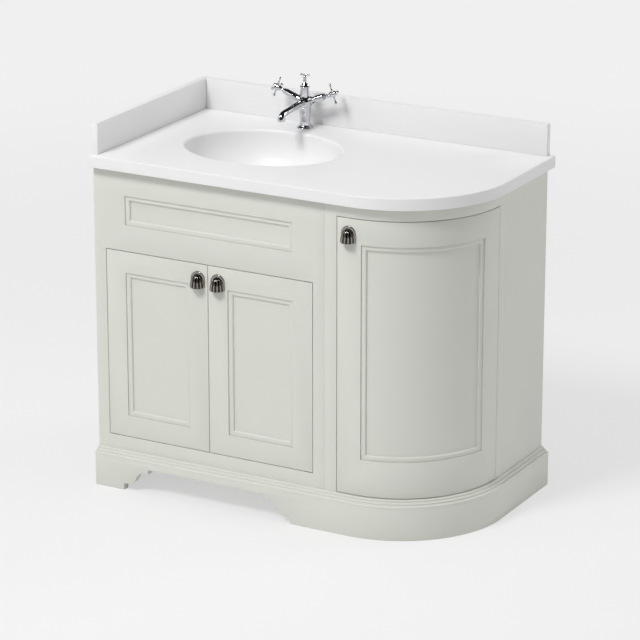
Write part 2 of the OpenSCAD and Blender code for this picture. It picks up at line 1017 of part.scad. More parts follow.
module pull(door) {
    screw_z = bell_h * 0.62;
    plate_r = bell_r + plate_edge;
    head_r = 2.1 * screw_r;
    head_h = 1.2 * screw_r;
    at_pull(door) {
        difference() {
            union() {
                rotate([90, 0, 0])
                    linear_extrude(plate_t) {
                        translate([-plate_r, 0])
                            square([2 * plate_r, plate_up - plate_r]);
                        translate([0, plate_up - plate_r])
                            intersection() {
                                circle(r = plate_r, $fn = 64);
                                translate([-plate_r, 0])
                                    square([2 * plate_r, plate_r]);
                            }
                    }
                bell_solid(bell_r, bell_h);
            }
            difference() {
                translate([0, 0, -cut])
                    bell_solid(bell_r - bell_wall, bell_h - bell_wall + cut);
                block([-bell_r, -plate_t, -2 * cut], [bell_r, cut, bell_h]);
            }
            for (i = [0 : flute_count - 1])
                rotate([0, 0, 180 * (i + 0.5) / flute_count + 180])
                    translate([bell_r + flute_r * 0.35, -bell_out * cos(180 * (i + 0.5) / flute_count), -cut])
                        cylinder(r = flute_r, h = bell_h * 0.7 + cut, $fn = 24);
        }
        translate([0, 0, screw_z])
            rotate([-90, 0, 0]) {
                cylinder(r = screw_r, h = door_t);
                translate([0, 0, door_t])
                    cylinder(r = head_r, h = head_h);
            }
    }
}

module left_pull() {
    color(chrome) placed() pull(0);
}

module right_pull() {
    color(chrome) placed() pull(1);
}

module curved_pull() {
    color(chrome) placed() pull(2);
}

// Shelf pins

pin_rest_r = 2.5;
pin_rest_l = 8;
pin_rest_in = 9;

// Four pins below one shelf, two in each side, standing in from the side panels
module pins_for(x_left, x_right, y_front) {
    for (y = [y_front + 30, back_y - 40]) {
        translate([x_left - pin_rest_in, y, deck_z + shelf_up - pin_rest_r])
            rotate([0, 90, 0])
                cylinder(r = pin_rest_r, h = pin_rest_in + pin_rest_l);
        translate([x_right - pin_rest_l, y, deck_z + shelf_up - pin_rest_r])
            rotate([0, 90, 0])
                cylinder(r = pin_rest_r, h = pin_rest_in + pin_rest_l);
    }
}

module straight_shelf_pins() {
    pins_for(board_t, straight_w - board_t, shelf_setback);
}

module curved_shelf_pins() {
    pins_for(straight_w + board_t, carcass_w - board_t, curve_front_d);
}

module shelf_pins() {
    color(steel) placed() {
        straight_shelf_pins();
        curved_shelf_pins();
    }
}

// Worktop, upstands and bowl

rim_edge = rim_r;
bowl_ratio = bowl_b / bowl_a;

// Stretch a round shape to the bowl's oval, around the bowl's centre
module oval() {
    translate([bowl_x, bowl_y, 0])
        scale([1, bowl_ratio, 1])
            children();
}

module worktop() {
    color(cast_white) placed()
        difference() {
            translate([0, 0, carcass_top])
                linear_extrude(worktop_t)
                    plan(overhang);
            oval()
                translate([0, 0, carcass_top - cut])
                    cylinder(r = bowl_a + rim_edge, h = worktop_t + 2 * cut, $fn = 128);
            translate([bowl_x, tap_y, carcass_top - cut])
                cylinder(r = shank_r + cabinet_play, h = worktop_t + 2 * cut);
        }
}

// Section of the bowl's inner face from the foot of the rolled rim to the flat floor
function bowl_curve(r_top, r_flat, z_top, z_low, steps = 14) =
    [for (i = [0 : steps]) let (a = 90 * i / steps)
        [r_flat + (r_top - r_flat) * pow(cos(a), 0.85), z_top - (z_top - z_low) * pow(sin(a), 0.95)]];

module bowl_section() {
    r_in = bowl_a - rim_r;
    roll = [for (i = [0 : 4]) let (a = 90 - 90 * i / 4)
        [bowl_a - rim_r * sin(90 - a), worktop_top - rim_r * (1 - sin(a))]];
    inner = bowl_curve(r_in, bowl_flat_r, worktop_top - rim_r, bowl_low);
    outer = bowl_curve(r_in + bowl_wall, bowl_flat_r, carcass_top, bowl_under);
    outside = [for (i = [len(outer) - 1 : -1 : 0]) outer[i]];
    polygon(concat(roll, inner, [[0, bowl_low], [0, bowl_under]], outside,
        [[bowl_a + rim_edge, worktop_top - bowl_edge_h], [bowl_a + rim_edge, worktop_top]]));
}

module basin_bowl() {
    color(cast_white) placed()
        difference() {
            for (turn = [0, 180])
                oval()
                    rotate([0, 0, turn])
                        rotate_extrude(angle = 180, $fn = 128)
                            bowl_section();
            translate([bowl_x, bowl_y, bowl_under - cut])
                cylinder(r = tail_r + cabinet_play, h = bowl_wall + 2 * cut);
            translate([bowl_x, bowl_y, bowl_low - flange_t])
                cylinder(r = flange_r + cabinet_play, h = flange_t + cut);
        }
}

module upstand_back() {
    color(cast_white) placed()
        block([upstand_t, carcass_d - upstand_t, worktop_top],
            [carcass_w + overhang - upstand_in, carcass_d, worktop_top + upstand_h]);
}

module upstand_left() {
    color(cast_white) placed()
        block([0, -overhang + upstand_in, worktop_top], [upstand_t, carcass_d, worktop_top + upstand_h]);
}

// Waste, pop-up and trap

seat_r = tail_in_r + 3;
port_r = ball_r + 3.5;
port_hole_r = rocker_r + 2.5;
// The ball rests on the edges of the port's hole and of the small nut's hole
ball_hold = sqrt(ball_r * ball_r - port_hole_r * port_hole_r) + ball_play;
port_out = rocker_y + ball_hold;
port_nut_t = 4;

module waste_body() {
    color(chrome) placed()
        translate([bowl_x, bowl_y, 0])
            difference() {
                union() {
                    translate([0, 0, bowl_low - flange_t])
                        cylinder(r = flange_r, h = flange_t);
                    translate([0, 0, tail_low])
                        cylinder(r = tail_r, h = bowl_low - flange_t - tail_low);
                    translate([0, 0, rocker_z])
                        rotate([-90, 0, 0])
                            cylinder(r = port_r, h = port_out - bowl_y);
                }
                translate([0, 0, tail_low - cut])
                    cylinder(r = tail_in_r, h = bowl_low - tail_low + 2 * cut);
                translate([0, 0, bowl_low - flange_t / 2])
                    cylinder(r = seat_r, h = flange_t);
                translate([0, 0, rocker_z])
                    rotate([-90, 0, 0])
                        cylinder(r = port_hole_r, h = port_out - bowl_y + cut);
                translate([0, rocker_in - ball_hold, rocker_z])
                    rotate([-90, 0, 0])
                        cylinder(r = ball_r + ball_play, h = port_out);
            }
}

// Backnut under the bowl, and the small nut that holds the rocker's ball in its port
module waste_nuts() {
    nut_h = 9;
    color(steel) placed()
        translate([bowl_x, bowl_y, 0]) {
            difference() {
                translate([0, 0, bowl_under - nut_h])
                    cylinder(r = flange_r - 3, h = nut_h, $fn = 6);
                translate([0, 0, bowl_under - nut_h - cut])
                    cylinder(r = tail_r, h = nut_h + 2 * cut);
            }
            translate([0, port_out - bowl_y, rocker_z])
                rotate([-90, 0, 0])
                    difference() {
                        cylinder(r = port_r, h = port_nut_t);
                        translate([0, 0, -cut])
                            cylinder(r = port_hole_r, h = port_nut_t + 2 * cut);
                    }
        }
}

// Plug, raised at rest: its cap, its fins in the tail's bore and its stem
module waste_plug() {
    cap_r = seat_r - seat_play;
    cap_z = bowl_low - flange_t / 2 + plug_lift;
    fin_t = 1.6;
    fin_r = tail_in_r - 0.6;
    fin_h = 16;
    color(chrome) placed()
        translate([bowl_x, bowl_y, 0]) {
            translate([0, 0, cap_z]) {
                cylinder(r = cap_r, h = 2.5);
                translate([0, 0, 2.5])
                    cylinder(r1 = cap_r, r2 = cap_r * 0.55, h = 2.5);
            }
            translate([0, 0, stem_z])
                cylinder(r = 4, h = cap_z - stem_z);
            for (turn = [45, 135])
                rotate([0, 0, turn])
                    translate([-fin_r, -fin_t / 2, cap_z - fin_h])
                        cube([2 * fin_r, fin_t, fin_h]);
        }
}

// Rocker: a rod through a ball, tilted about the ball's centre
module rocker_arm() {
    past_strap = 14;
    color(steel) placed()
        translate([bowl_x, rocker_y, rocker_z])
            rotate([rocker_rest, 0, 0])
                union() {
                    sphere(r = ball_r, $fn = 48);
                    translate([0, -rocker_in - 3, 0])
                        rotate([-90, 0, 0])
                            cylinder(r = rocker_r, h = rocker_in + 3 + rocker_out + past_strap);
                }
}

module trap_body() {
    dip_low = bottle_low + 22;
    color(plastic) placed()
        translate([bowl_x, bowl_y, 0])
            difference() {
                union() {
                    translate([0, 0, tail_low - 4])
                        cylinder(r = tail_r + 6, h = socket_h + 4);
                    translate([0, 0, bottle_top])
                        cylinder(r = tail_r + 1, h = tail_low - bottle_top);
                    difference() {
                        translate([0, 0, bottle_top - 52])
                            cylinder(r = bottle_r, h = 52);
                        translate([0, 0, bottle_top - 52 - cut])
                            cylinder(r = bottle_r - shell_t, h = 52 - shell_t + cut);
                    }
                    translate([0, 0, dip_low])
                        cylinder(r = tail_in_r + 1, h = bottle_top - dip_low);
                    translate([0, tail_in_r + shell_t + 4, outlet_z])
                        rotate([-90, 0, 0])
                            cylinder(r = outlet_r + 3, h = outlet_from - bowl_y - tail_in_r - shell_t - 4);
                }
                translate([0, 0, tail_low])
                    cylinder(r = tail_r, h = socket_h + cut);
                translate([0, 0, dip_low - cut])
                    cylinder(r = tail_in_r - 1, h = tail_low - dip_low + 2 * cut);
                translate([0, tail_in_r + shell_t + 1, outlet_z])
                    rotate([-90, 0, 0])
                        cylinder(r = outlet_r - 1.5, h = bottle_r);
            }
}

module trap_cup() {
    lap = 12;
    lap_up = 8;
    color(plastic) placed()
        translate([bowl_x, bowl_y, 0])
            difference() {
                union() {
                    translate([0, 0, bottle_low])
                        cylinder(r = bottle_r, h = bottle_top - 52 - bottle_low);
                    translate([0, 0, bottle_top - 52 - lap])
                        cylinder(r = bottle_r + shell_t, h = lap + lap_up);
                }
                translate([0, 0, bottle_low + shell_t])
                    cylinder(r = bottle_r - shell_t, h = bottle_h);
                translate([0, 0, bottle_top - 52])
                    cylinder(r = bottle_r, h = bottle_h);
            }
}

// Outlet pipe to the wall, with its nut on the trap
module trap_pipe() {
    nut_l = 16;
    color(plastic) placed()
        translate([bowl_x, outlet_from, outlet_z])
            rotate([-90, 0, 0]) {
                difference() {
                    cylinder(r = outlet_r, h = carcass_d - outlet_from);
                    translate([0, 0, -cut])
                        cylinder(r = outlet_r - 1.5, h = carcass_d);
                }
                difference() {
                    cylinder(r = outlet_r + 6, h = nut_l, $fn = 8);
                    translate([0, 0, -cut])
                        cylinder(r = outlet_r, h = nut_l + 2 * cut);
                }
            }
}

// Tap

module at_tap() {
    translate([bowl_x, tap_y, tap_z])
        children();
}

// The handles' axes leave the middle of the body to each side
module at_handle(side) {
    at_tap()
        translate([0, 0, tap_mid_h])
            rotate([0, side * (90 - handle_tilt), 0])
                children();
}

module tap_body() {
    shoulder_z = column_h - 16;
    color(chrome) placed()
        at_tap()
            difference() {
                union() {
                    rotate_extrude($fn = 96)
                        polygon([[0, 0], [tap_foot_r, 0], [tap_foot_r, 3], [tap_foot_r - 2, 5],
                            [pedestal_r + 1, 6], [pedestal_r, 9], [pedestal_r - 1.5, 20],
                            [pedestal_r - 1, 32], [pedestal_r + 0.5, 38], [pedestal_r + 0.5, 41],
                            [column_r, tap_mid_h - 12], [column_r, tap_mid_h + 12],
                            [column_r + column_flare, tap_mid_h + 17], [column_r + 1, tap_mid_h + 20],
                            [column_r, tap_mid_h + 22], [column_r - 1.2, shoulder_z - 3],
                            [column_r + 1, shoulder_z - 1], [column_r + 1, shoulder_z + 2],
                            [column_r - 2, shoulder_z + 4], [column_r * 0.6, shoulder_z + 9],
                            [column_r * 0.42, shoulder_z + 13], [column_r * 0.42, column_h],
                            [0, column_h]]);
                    translate([0, 0, tap_mid_h])
                        sphere(r = tap_body_r, $fn = 64);
                    translate([0, 0, -shank_l])
                        cylinder(r = shank_r, h = shank_l);
                }
                translate([0, 0, -shank_l - cut])
                    cylinder(r = lift_r + rod_play, h = shank_l + column_h + 2 * cut);
                for (side = [-1, 1])
                    translate([side * copper_at, 0, -shank_l - cut])
                        cylinder(r = copper_r, h = shank_l - 6 + cut);
            }
}

module tap_spout() {
    bend = 12;
    root = tap_body_r - 3;
    root_z = tap_mid_h + 3;
    reach = spout_reach - bend + bend * sin(spout_fall);
    fall = (reach - root) * tan(spout_fall);
    bend_z = root_z - fall - bend * cos(spout_fall);
    low = bend_z - spout_lip;
    color(chrome) placed()
        at_tap()
            difference() {
                union() {
                    translate([0, -root, root_z])
                        rotate([90 + spout_fall, 0, 0])
                            cylinder(r1 = spout_r + 1, r2 = spout_r, h = (reach - root) / cos(spout_fall) + 1);
                    translate([0, -spout_reach + bend, bend_z])
                        rotate([0, 90, 0])
                            rotate([0, 0, 180 + spout_fall])
                                rotate_extrude(angle = 90 - spout_fall, $fn = 64)
                                    translate([bend, 0])
                                        circle(r = spout_r + 0.5, $fn = 48);
                    translate([0, -spout_reach, bend_z])
                        sphere(r = bulb_r, $fn = 48);
                    translate([0, -spout_reach, low])
                        cylinder(r = bulb_r - 1, h = bend_z - low);
                }
                translate([0, -spout_reach, low - bulb_r])
                    cylinder(r = bulb_r + 1, h = bulb_r);
                translate([0, -spout_reach, low - cut])
                    cylinder(r = bulb_r - 3.5, h = spout_lip + 6);
                translate([0, 0, tap_mid_h])
                    sphere(r = tap_body_r, $fn = 64);
            }
}

module bonnet(side) {
    difference() {
        at_handle(side)
            difference() {
                union() {
                    translate([0, 0, bonnet_from])
                        cylinder(r = bonnet_r + bonnet_step, h = bonnet_collar);
                    translate([0, 0, bonnet_from + bonnet_collar])
                        cylinder(r = bonnet_r, h = bonnet_to - bonnet_hex - bonnet_from - bonnet_collar);
                    translate([0, 0, bonnet_to - bonnet_hex])
                        cylinder(r = bonnet_r - bonnet_step, h = bonnet_hex, $fn = 6);
                }
                translate([0, 0, bonnet_to - spindle_in - spindle_end])
                    cylinder(r = spindle_r + rod_play, h = spindle_in + spindle_end + cut);
                sphere(r = tap_body_r, $fn = 64);
            }
        at_tap()
            translate([0, 0, tap_mid_h])
                cylinder(r = column_r + column_flare, h = tap_body_r + bonnet_r);
    }
}

module tap_bonnets() {
    color(chrome) placed() {
        bonnet(-1);
        bonnet(1);
    }
}

// Cross handle with its spindle: four arms with ball ends, and a plain cap
module cross_handle(side) {
    at_handle(side) {
        translate([0, 0, bonnet_to - spindle_in])
            cylinder(r = spindle_r, h = cross_at - bonnet_to + spindle_in - 10);
        rotate_extrude($fn = 64)
            polygon([[0, bonnet_to + 1.5], [spindle_r + 1, bonnet_to + 1.5], [spindle_r + 1, cross_at - 12],
                [7, cross_at - 8], [7.5, cross_at - 6], [7.5, cross_at + 6], [6.5, cross_at + 8],
                [5, cross_at + 10.5], [2.5, cross_at + 11.8], [0, cross_at + 12]]);
        for (turn = [0 : 90 : 270])
            translate([0, 0, cross_at])
                rotate([0, 0, turn])
                    rotate([0, 90, 0]) {
                        translate([0, 0, 5])
                            cylinder(r1 = 3, r2 = 2, h = arm_l - 5);
                        translate([0, 0, arm_l])
                            sphere(r = arm_ball_r, $fn = 32);
                    }
    }
}

module hot_handle() {
    color(chrome) placed() cross_handle(-1);
}

module cold_handle() {
    color(chrome) placed() cross_handle(1);
}

// Pop-up knob, its rod through the tap, and the strap that the rocker hangs in
module lift_rod() {
    knob_z = column_h + 7;
    bar_half = 11;
    bar_z = knob_z + 6;
    strap_w = 8;
    strap_t = 3;
    strap_top = tap_z - shank_l - lift_travel - 5;
    color(chrome) placed() {
        at_tap() {
            translate([0, 0, column_h])
                cylinder(r = 3.4, h = 3);
            translate([0, 0, knob_z])
                sphere(r = 5.4, $fn = 48);
            translate([-bar_half, 0, bar_z])
                rotate([0, 90, 0])
                    cylinder(r = 1.5, h = 2 * bar_half);
            for (side = [-1, 1])
                translate([side * bar_half, 0, bar_z])
                    sphere(r = 2.8, $fn = 32);
        }
        translate([bowl_x, tap_y, 0])
            difference() {
                union() {
                    translate([0, 0, strap_top - 16])
                        cylinder(r = lift_r, h = tap_z + knob_z - strap_top + 16);
                    translate([0, 0, strap_top - 16])
                        cylinder(r = 4.6, h = 16);
                    block([-strap_w / 2, -strap_t / 2, strap_z - 8], [strap_w / 2, strap_t / 2, strap_top - 14]);
                }
                translate([0, -strap_w, strap_z])
                    rotate([-90, 0, 0])
                        cylinder(r = rocker_r + 1, h = 2 * strap_w);
            }
    }
}

// Washer and backnut that clamp the tap to the worktop
module tap_fixing() {
    washer_r = 25;
    washer_t = 3;
    nut_r = 24;
    nut_h = 9;
    color(steel) placed()
        translate([bowl_x, tap_y, 0])
            difference() {
                union() {
                    translate([0, 0, carcass_top - washer_t])
                        cylinder(r = washer_r, h = washer_t);
                    translate([0, 0, carcass_top - washer_t - nut_h])
                        cylinder(r = nut_r, h = nut_h, $fn = 6);
                }
                translate([0, 0, carcass_top - 2 * washer_t - 2 * nut_h])
                    cylinder(r = shank_r, h = 3 * washer_t + 3 * nut_h);
            }
}

// Rod along a copper tail: down from the shank, out to the side, through the middle
// coupling and down again
module copper_path(r, middle_r, middle_l, over) {
    from_z = -shank_l - 6;
    lean = acos(1 - copper_out / (2 * copper_bend));
    low_z = from_z - 2 * copper_bend * sin(lean);
    translate([0, 0, from_z])
        cylinder(r = r, h = over - 6 - from_z, $fn = 48);
    translate([copper_bend, 0, from_z])
        rotate([90, 0, 0])
            rotate([0, 0, 180])
                rotate_extrude(angle = lean - 3, $fn = 96)
                    translate([copper_bend, 0])
                        circle(r = r, $fn = 48);
    translate([copper_out / 2, 0, from_z - copper_bend * sin(lean)])
        rotate([0, 180 - lean, 0])
            translate([0, 0, -middle_l / 2])
                cylinder(r = middle_r, h = middle_l, $fn = 48);
    translate([copper_out - copper_bend, 0, low_z])
        rotate([90, 0, 0])
            rotate_extrude(angle = lean - 3, $fn = 96)
                translate([copper_bend, 0])
                    circle(r = r, $fn = 48);
    translate([copper_out, 0, copper_low - tap_z - over])
        cylinder(r = r, h = low_z - copper_low + tap_z + over, $fn = 48);
}

module tap_tails() {
    color(copper) placed()
        at_tap()
            for (side = [0, 1])
                mirror([side, 0, 0])
                    translate([copper_at, 0, 0])
                        difference() {
                            copper_path(copper_r, copper_r + 2, 14, 0);
                            copper_path(copper_r - 1, copper_r - 1.5, 8, cut);
                        }
}

vanity_side_left();
vanity_side_right();
vanity_base();
vanity_back();
vanity_shelf();
vanity_rear_rail();
stile_left();
stile_right();
bottom_rail();
drawer_fascia();
drawer_fascia_bead();
curved_side_left();
curved_side_right();
curved_base();
curved_back();
curved_shelf();
curved_rear_rail();
curved_stile_left();
curved_stile_right();
curved_top_rail();
plinth_front();
plinth_curve();
plinth_side();
plinth_moulding();
left_door_frame();
left_door_panel();
left_door_bead();
right_door_frame();
right_door_panel();
right_door_bead();
curved_door_frame();
curved_door_panel();
curved_door_bead();
left_pull();
right_pull();
curved_pull();
left_door_pivots();
right_door_pivots();
curved_door_pivots();
pivot_sockets();
shelf_pins();
worktop();
basin_bowl();
upstand_back();
upstand_left();
waste_body();
waste_nuts();
waste_plug();
rocker_arm();
trap_body();
trap_cup();
trap_pipe();
tap_body();
tap_spout();
tap_bonnets();
hot_handle();
cold_handle();
lift_rod();
tap_fixing();
tap_tails();
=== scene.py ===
"""Studio scene of a corner vanity unit: painted cupboards, a cast worktop with its bowl, and a tap.

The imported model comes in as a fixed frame. Each class below builds the surfaces of one
sub-assembly around that frame, and every piece rides on the body that it belongs to. Sizes are
in millimetres in the shop drawing's corner frame: x from the wall side along the front, y from
the cupboards' face to the back wall, z up from the floor. The meshes are in metres.
"""

from __future__ import annotations

import json
import logging
import math
import sys
from collections.abc import Callable, Iterable, Sequence
from dataclasses import dataclass, field
from enum import Enum
from functools import cache
from typing import Any

import bmesh
import bpy
from mathutils import Matrix, Vector

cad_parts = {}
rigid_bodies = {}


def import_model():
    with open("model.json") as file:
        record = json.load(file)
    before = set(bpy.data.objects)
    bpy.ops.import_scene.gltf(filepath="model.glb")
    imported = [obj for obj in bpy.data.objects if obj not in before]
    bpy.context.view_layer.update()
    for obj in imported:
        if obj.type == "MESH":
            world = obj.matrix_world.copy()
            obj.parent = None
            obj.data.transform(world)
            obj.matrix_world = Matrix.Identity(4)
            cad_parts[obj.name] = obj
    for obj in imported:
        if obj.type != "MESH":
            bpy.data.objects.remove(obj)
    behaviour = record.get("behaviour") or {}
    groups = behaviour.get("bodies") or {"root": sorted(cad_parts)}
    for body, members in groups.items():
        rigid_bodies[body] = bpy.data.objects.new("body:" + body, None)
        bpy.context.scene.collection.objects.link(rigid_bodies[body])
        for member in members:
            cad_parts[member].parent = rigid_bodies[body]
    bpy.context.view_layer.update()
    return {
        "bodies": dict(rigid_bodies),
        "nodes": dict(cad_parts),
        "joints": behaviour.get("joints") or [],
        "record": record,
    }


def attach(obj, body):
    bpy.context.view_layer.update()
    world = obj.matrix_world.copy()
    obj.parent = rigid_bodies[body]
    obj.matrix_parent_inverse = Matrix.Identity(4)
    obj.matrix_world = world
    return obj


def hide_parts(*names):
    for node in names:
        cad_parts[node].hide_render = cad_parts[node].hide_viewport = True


LOG = logging.getLogger("vanity")

MM = 0.001
# The frame's origin in the shop drawing: on the floor, in the middle of the footprint.
ORIGIN = Vector((500.0, 254.25, 0.0))
QUARTER = math.pi / 2
# Radius of the ring that stands for a point on a turned piece's axis, in millimetres.
POLE_R = 0.02
# Points closer together than this are one point, in millimetres.
DOUBLES_MM = 0.002
CABINET = "cabinet"

Outline = list[tuple[float, float]]


def spread(start: float, end: float, steps: int) -> list[float]:
    """Give evenly spaced values from start to end, with both ends."""
    return [start + (end - start) * i / steps for i in range(steps + 1)]


def around(count: int) -> list[float]:
    """Give this many angles around a circle, in radians."""
    return [math.tau * i / count for i in range(count)]


def arc_points(
    centre: tuple[float, float], radius: float, start: float, end: float, steps: int = 8,
) -> Outline:
    """Give points of an arc, from one angle in degrees to another."""
    turns = [math.radians(a) for a in spread(start, end, steps)]
    return [(centre[0] + radius * math.cos(a), centre[1] + radius * math.sin(a)) for a in turns]


def smooth_line(points: Sequence[tuple[float, float]], steps: int = 5) -> Outline:
    """Draw a smooth curve through points.

    Args:
        points: the points that the curve passes.
        steps: number of pieces between two points.

    Returns:
        The points of a Catmull-Rom curve.
    """
    padded = [points[0], *points, points[-1]]
    line: Outline = []
    for a, b, c, d in zip(padded, padded[1:], padded[2:], padded[3:]):
        for i in range(steps):
            t = i / steps
            line.append(tuple(0.5 * (
                2 * b[k] + (c[k] - a[k]) * t + (2 * a[k] - 5 * b[k] + 4 * c[k] - d[k]) * t * t
                + (3 * b[k] - a[k] - 3 * c[k] + d[k]) * t ** 3
            ) for k in (0, 1)))
    return line + [points[-1]]


# ---------------------------------------------------------------- colours and finishes


def linear(hex_colour: str) -> tuple[float, float, float, float]:
    """Turn an sRGB hex colour into the linear colour that a shader takes.

    Args:
        hex_colour: six hex digits, such as "d9dad2".

    Returns:
        Red, green, blue and an alpha of 1.
    """
    values = [int(hex_colour[i:i + 2], 16) / 255 for i in (0, 2, 4)]
    red, green, blue = (v / 12.92 if v <= 0.04045 else ((v + 0.055) / 1.055) ** 2.4 for v in values)
    return red, green, blue, 1.0


def add_node(
    tree: bpy.types.NodeTree,
    kind: str,
    settings: dict[str, Any] | None = None,
    inputs: dict[str | int, Any] | None = None,
) -> bpy.types.Node:
    """Add one node to a shader or geometry tree.

    Args:
        tree: the tree that gets the node.
        kind: the node's type name.
        settings: the node's own properties by name.
        inputs: for each input, by name or number, its value or the output that feeds it.

    Returns:
        The new node.
    """
    node = tree.nodes.new(kind)
    for name, value in (settings or {}).items():
        setattr(node, name, value)
    for name, value in (inputs or {}).items():
        socket = node.inputs[name]
        if isinstance(value, bpy.types.NodeSocket):
            tree.links.new(value, socket)
        else:
            socket.default_value = value
    return node


class Grain(Enum):
    """Which way the marks of making run: the stretch of a pattern along x, y and z."""

    UP = (1.0, 1.0, 0.03)
    ALONG = (0.03, 0.03, 1.0)
    NONE = (1.0, 1.0, 1.0)


class Slot(Enum):
    """The record's material slots."""

    PAINT = "paint"
    CAST_MARBLE = "cast_marble"
    CHROME = "chrome"
    STEEL = "steel"
    COPPER = "copper"
    PLASTIC = "plastic"


@dataclass(frozen=True)
class Finish:
    """One real surface: its colour and gloss, and the marks that its making leaves.

    The mottle is a slow change of colour and gloss over the surface. The texture is the fine
    relief of the surface, as deep as texture_deep and as coarse as texture_mm.
    """

    name: str
    slot: Slot
    colour: str
    roughness: float
    mottle_colour: str
    metallic: float = 0.0
    ior: float = 1.5
    coat: float = 0.0
    coat_roughness: float = 0.03
    grain: Grain = Grain.NONE
    mottle_mm: float = 120.0
    gloss_span: float = 0.05
    texture_mm: float = 1.5
    texture_deep: float = 0.02

    def material(self) -> bpy.types.Material:
        """Return the finish's material, and build it the first time.

        Returns:
            A node-based material that reads Object coordinates.
        """
        found = bpy.data.materials.get(self.name)
        if found:
            return found
        made = bpy.data.materials.new(self.name)
        made.use_nodes = True
        made.diffuse_color = linear(self.colour)
        tree = made.node_tree
        tree.nodes.clear()
        place = add_node(tree, "ShaderNodeTexCoord").outputs["Object"]
        slow = add_node(
            tree, "ShaderNodeTexNoise", {"noise_dimensions": "3D"},
            {"Vector": place, "Scale": 1000 / self.mottle_mm, "Detail": 3.0, "Roughness": 0.5},
        )
        run = add_node(
            tree, "ShaderNodeMapping", {"vector_type": "POINT"}, {"Vector": place, "Scale": self.grain.value},
        )
        fine = add_node(
            tree, "ShaderNodeTexNoise", {"noise_dimensions": "3D"},
            {"Vector": run.outputs["Vector"], "Scale": 1000 / self.texture_mm, "Detail": 2.0,
             "Roughness": 0.6},
        )
        colour = add_node(
            tree, "ShaderNodeMix", {"data_type": "RGBA"},
            {0: slow.outputs["Fac"], 6: linear(self.colour), 7: linear(self.mottle_colour)},
        )
        gloss = add_node(
            tree, "ShaderNodeMapRange", {},
            {"Value": slow.outputs["Fac"], "To Min": self.roughness - self.gloss_span / 2,
             "To Max": self.roughness + self.gloss_span / 2},
        )
        relief = add_node(
            tree, "ShaderNodeBump", {},
            {"Strength": 1.0, "Distance": self.texture_deep * MM, "Height": fine.outputs["Fac"]},
        )
        surface = add_node(
            tree, "ShaderNodeBsdfPrincipled", {},
            {"Base Color": colour.outputs[2], "Metallic": self.metallic, "Roughness": gloss.outputs["Result"],
             "IOR": self.ior, "Coat Weight": self.coat, "Coat Roughness": self.coat_roughness,
             "Normal": relief.outputs["Normal"]},
        )
        add_node(tree, "ShaderNodeOutputMaterial", {}, {"Surface": surface.outputs["BSDF"]})
        return made


# Sprayed eggshell paint on hardwood: a low sheen, and the wood's grain just telling through it
# (drawn at 1.6 mm, because the real 0.4 mm pores wouldn't show).
PAINT_UP = Finish(
    "eggshell_paint_grain_up", Slot.PAINT, "dbdcd4", 0.5, grain=Grain.UP, mottle_mm=90,
    mottle_colour="d8d9d1", texture_mm=1.6, texture_deep=0.03,
)
PAINT_ALONG = Finish(
    "eggshell_paint_grain_along", Slot.PAINT, "dbdcd4", 0.5, grain=Grain.ALONG, mottle_mm=90,
    mottle_colour="d8d9d1", texture_mm=1.6, texture_deep=0.03,
)
# Cast mineral marble under a gel coat: dense white, a soft shine, nearly no marks.
CAST_MARBLE = Finish(
    "cast_marble_gel_coat", Slot.CAST_MARBLE, "eeeeee", 0.42, coat=0.06, coat_roughness=0.25, mottle_mm=160,
    mottle_colour="ebebec", gloss_span=0.03, texture_mm=14, texture_deep=0.01,
)
# Polished chromium plate on brass: a mirror with a faint haze from wiping.
CHROME = Finish(
    "polished_chrome_plate", Slot.CHROME, "d0d1d4", 0.06, metallic=1.0, mottle_mm=30, mottle_colour="cbccd0",
    gloss_span=0.03, texture_mm=6, texture_deep=0.002,
)
# Metal of the pulls' ribs and backplates: its colour, darker and warmer than chrome, is a painted reflection
# of a dark room and of the cream doors, and the bright ribs over the near-black bell are painted highlight
# stripes.
PULL_PAINTED_REFLECTION = Finish(
    "pull_plate_painted_warm_reflection", Slot.CHROME, "98948d", 0.08, metallic=1.0, mottle_mm=20, mottle_colour="8f8b84",
    gloss_span=0.03, texture_mm=5, texture_deep=0.002,
)
# Near-black metal on the pulls' bells, between and above the ribs: a painted dark reflection, standing for
# the dark room that the fluted chrome mirrors.
PULL_PAINTED_DARK_REFLECTION = Finish(
    "pull_bell_painted_dark_reflection", Slot.CHROME, "3b3936", 0.09, metallic=1.0, mottle_mm=20, mottle_colour="343230",
    gloss_span=0.03, texture_mm=5, texture_deep=0.002,
)
# Zinc-plated steel: bright but dull, with the streaks of rolling.
ZINCED_STEEL = Finish(
    "zinc_plated_steel", Slot.STEEL, "b4b8bc", 0.34, metallic=1.0, grain=Grain.ALONG, mottle_mm=12,
    mottle_colour="a9adb1", gloss_span=0.1, texture_mm=0.8, texture_deep=0.01,
)
# Drawn copper pipe, slightly tarnished.
COPPER = Finish(
    "drawn_copper_tube", Slot.COPPER, "c98a63", 0.28, metallic=1.0, mottle_mm=25, mottle_colour="b27450",
    gloss_span=0.12, texture_mm=2, texture_deep=0.005,
)
# Moulded polypropylene: white and satin, with a shallow orange-peel skin.
POLYPROPYLENE = Finish(
    "moulded_polypropylene", Slot.PLASTIC, "efefec", 0.38, ior=1.49, mottle_mm=40, mottle_colour="eaeae6",
    gloss_span=0.06, texture_mm=2.5, texture_deep=0.015,
)


# ---------------------------------------------------------------- meshes


def placed(x: float, y: float, z: float) -> Vector:
    """Turn a point of the shop drawing, in millimetres, into the frame's metres."""
    return (Vector((x, y, z)) - ORIGIN) * MM


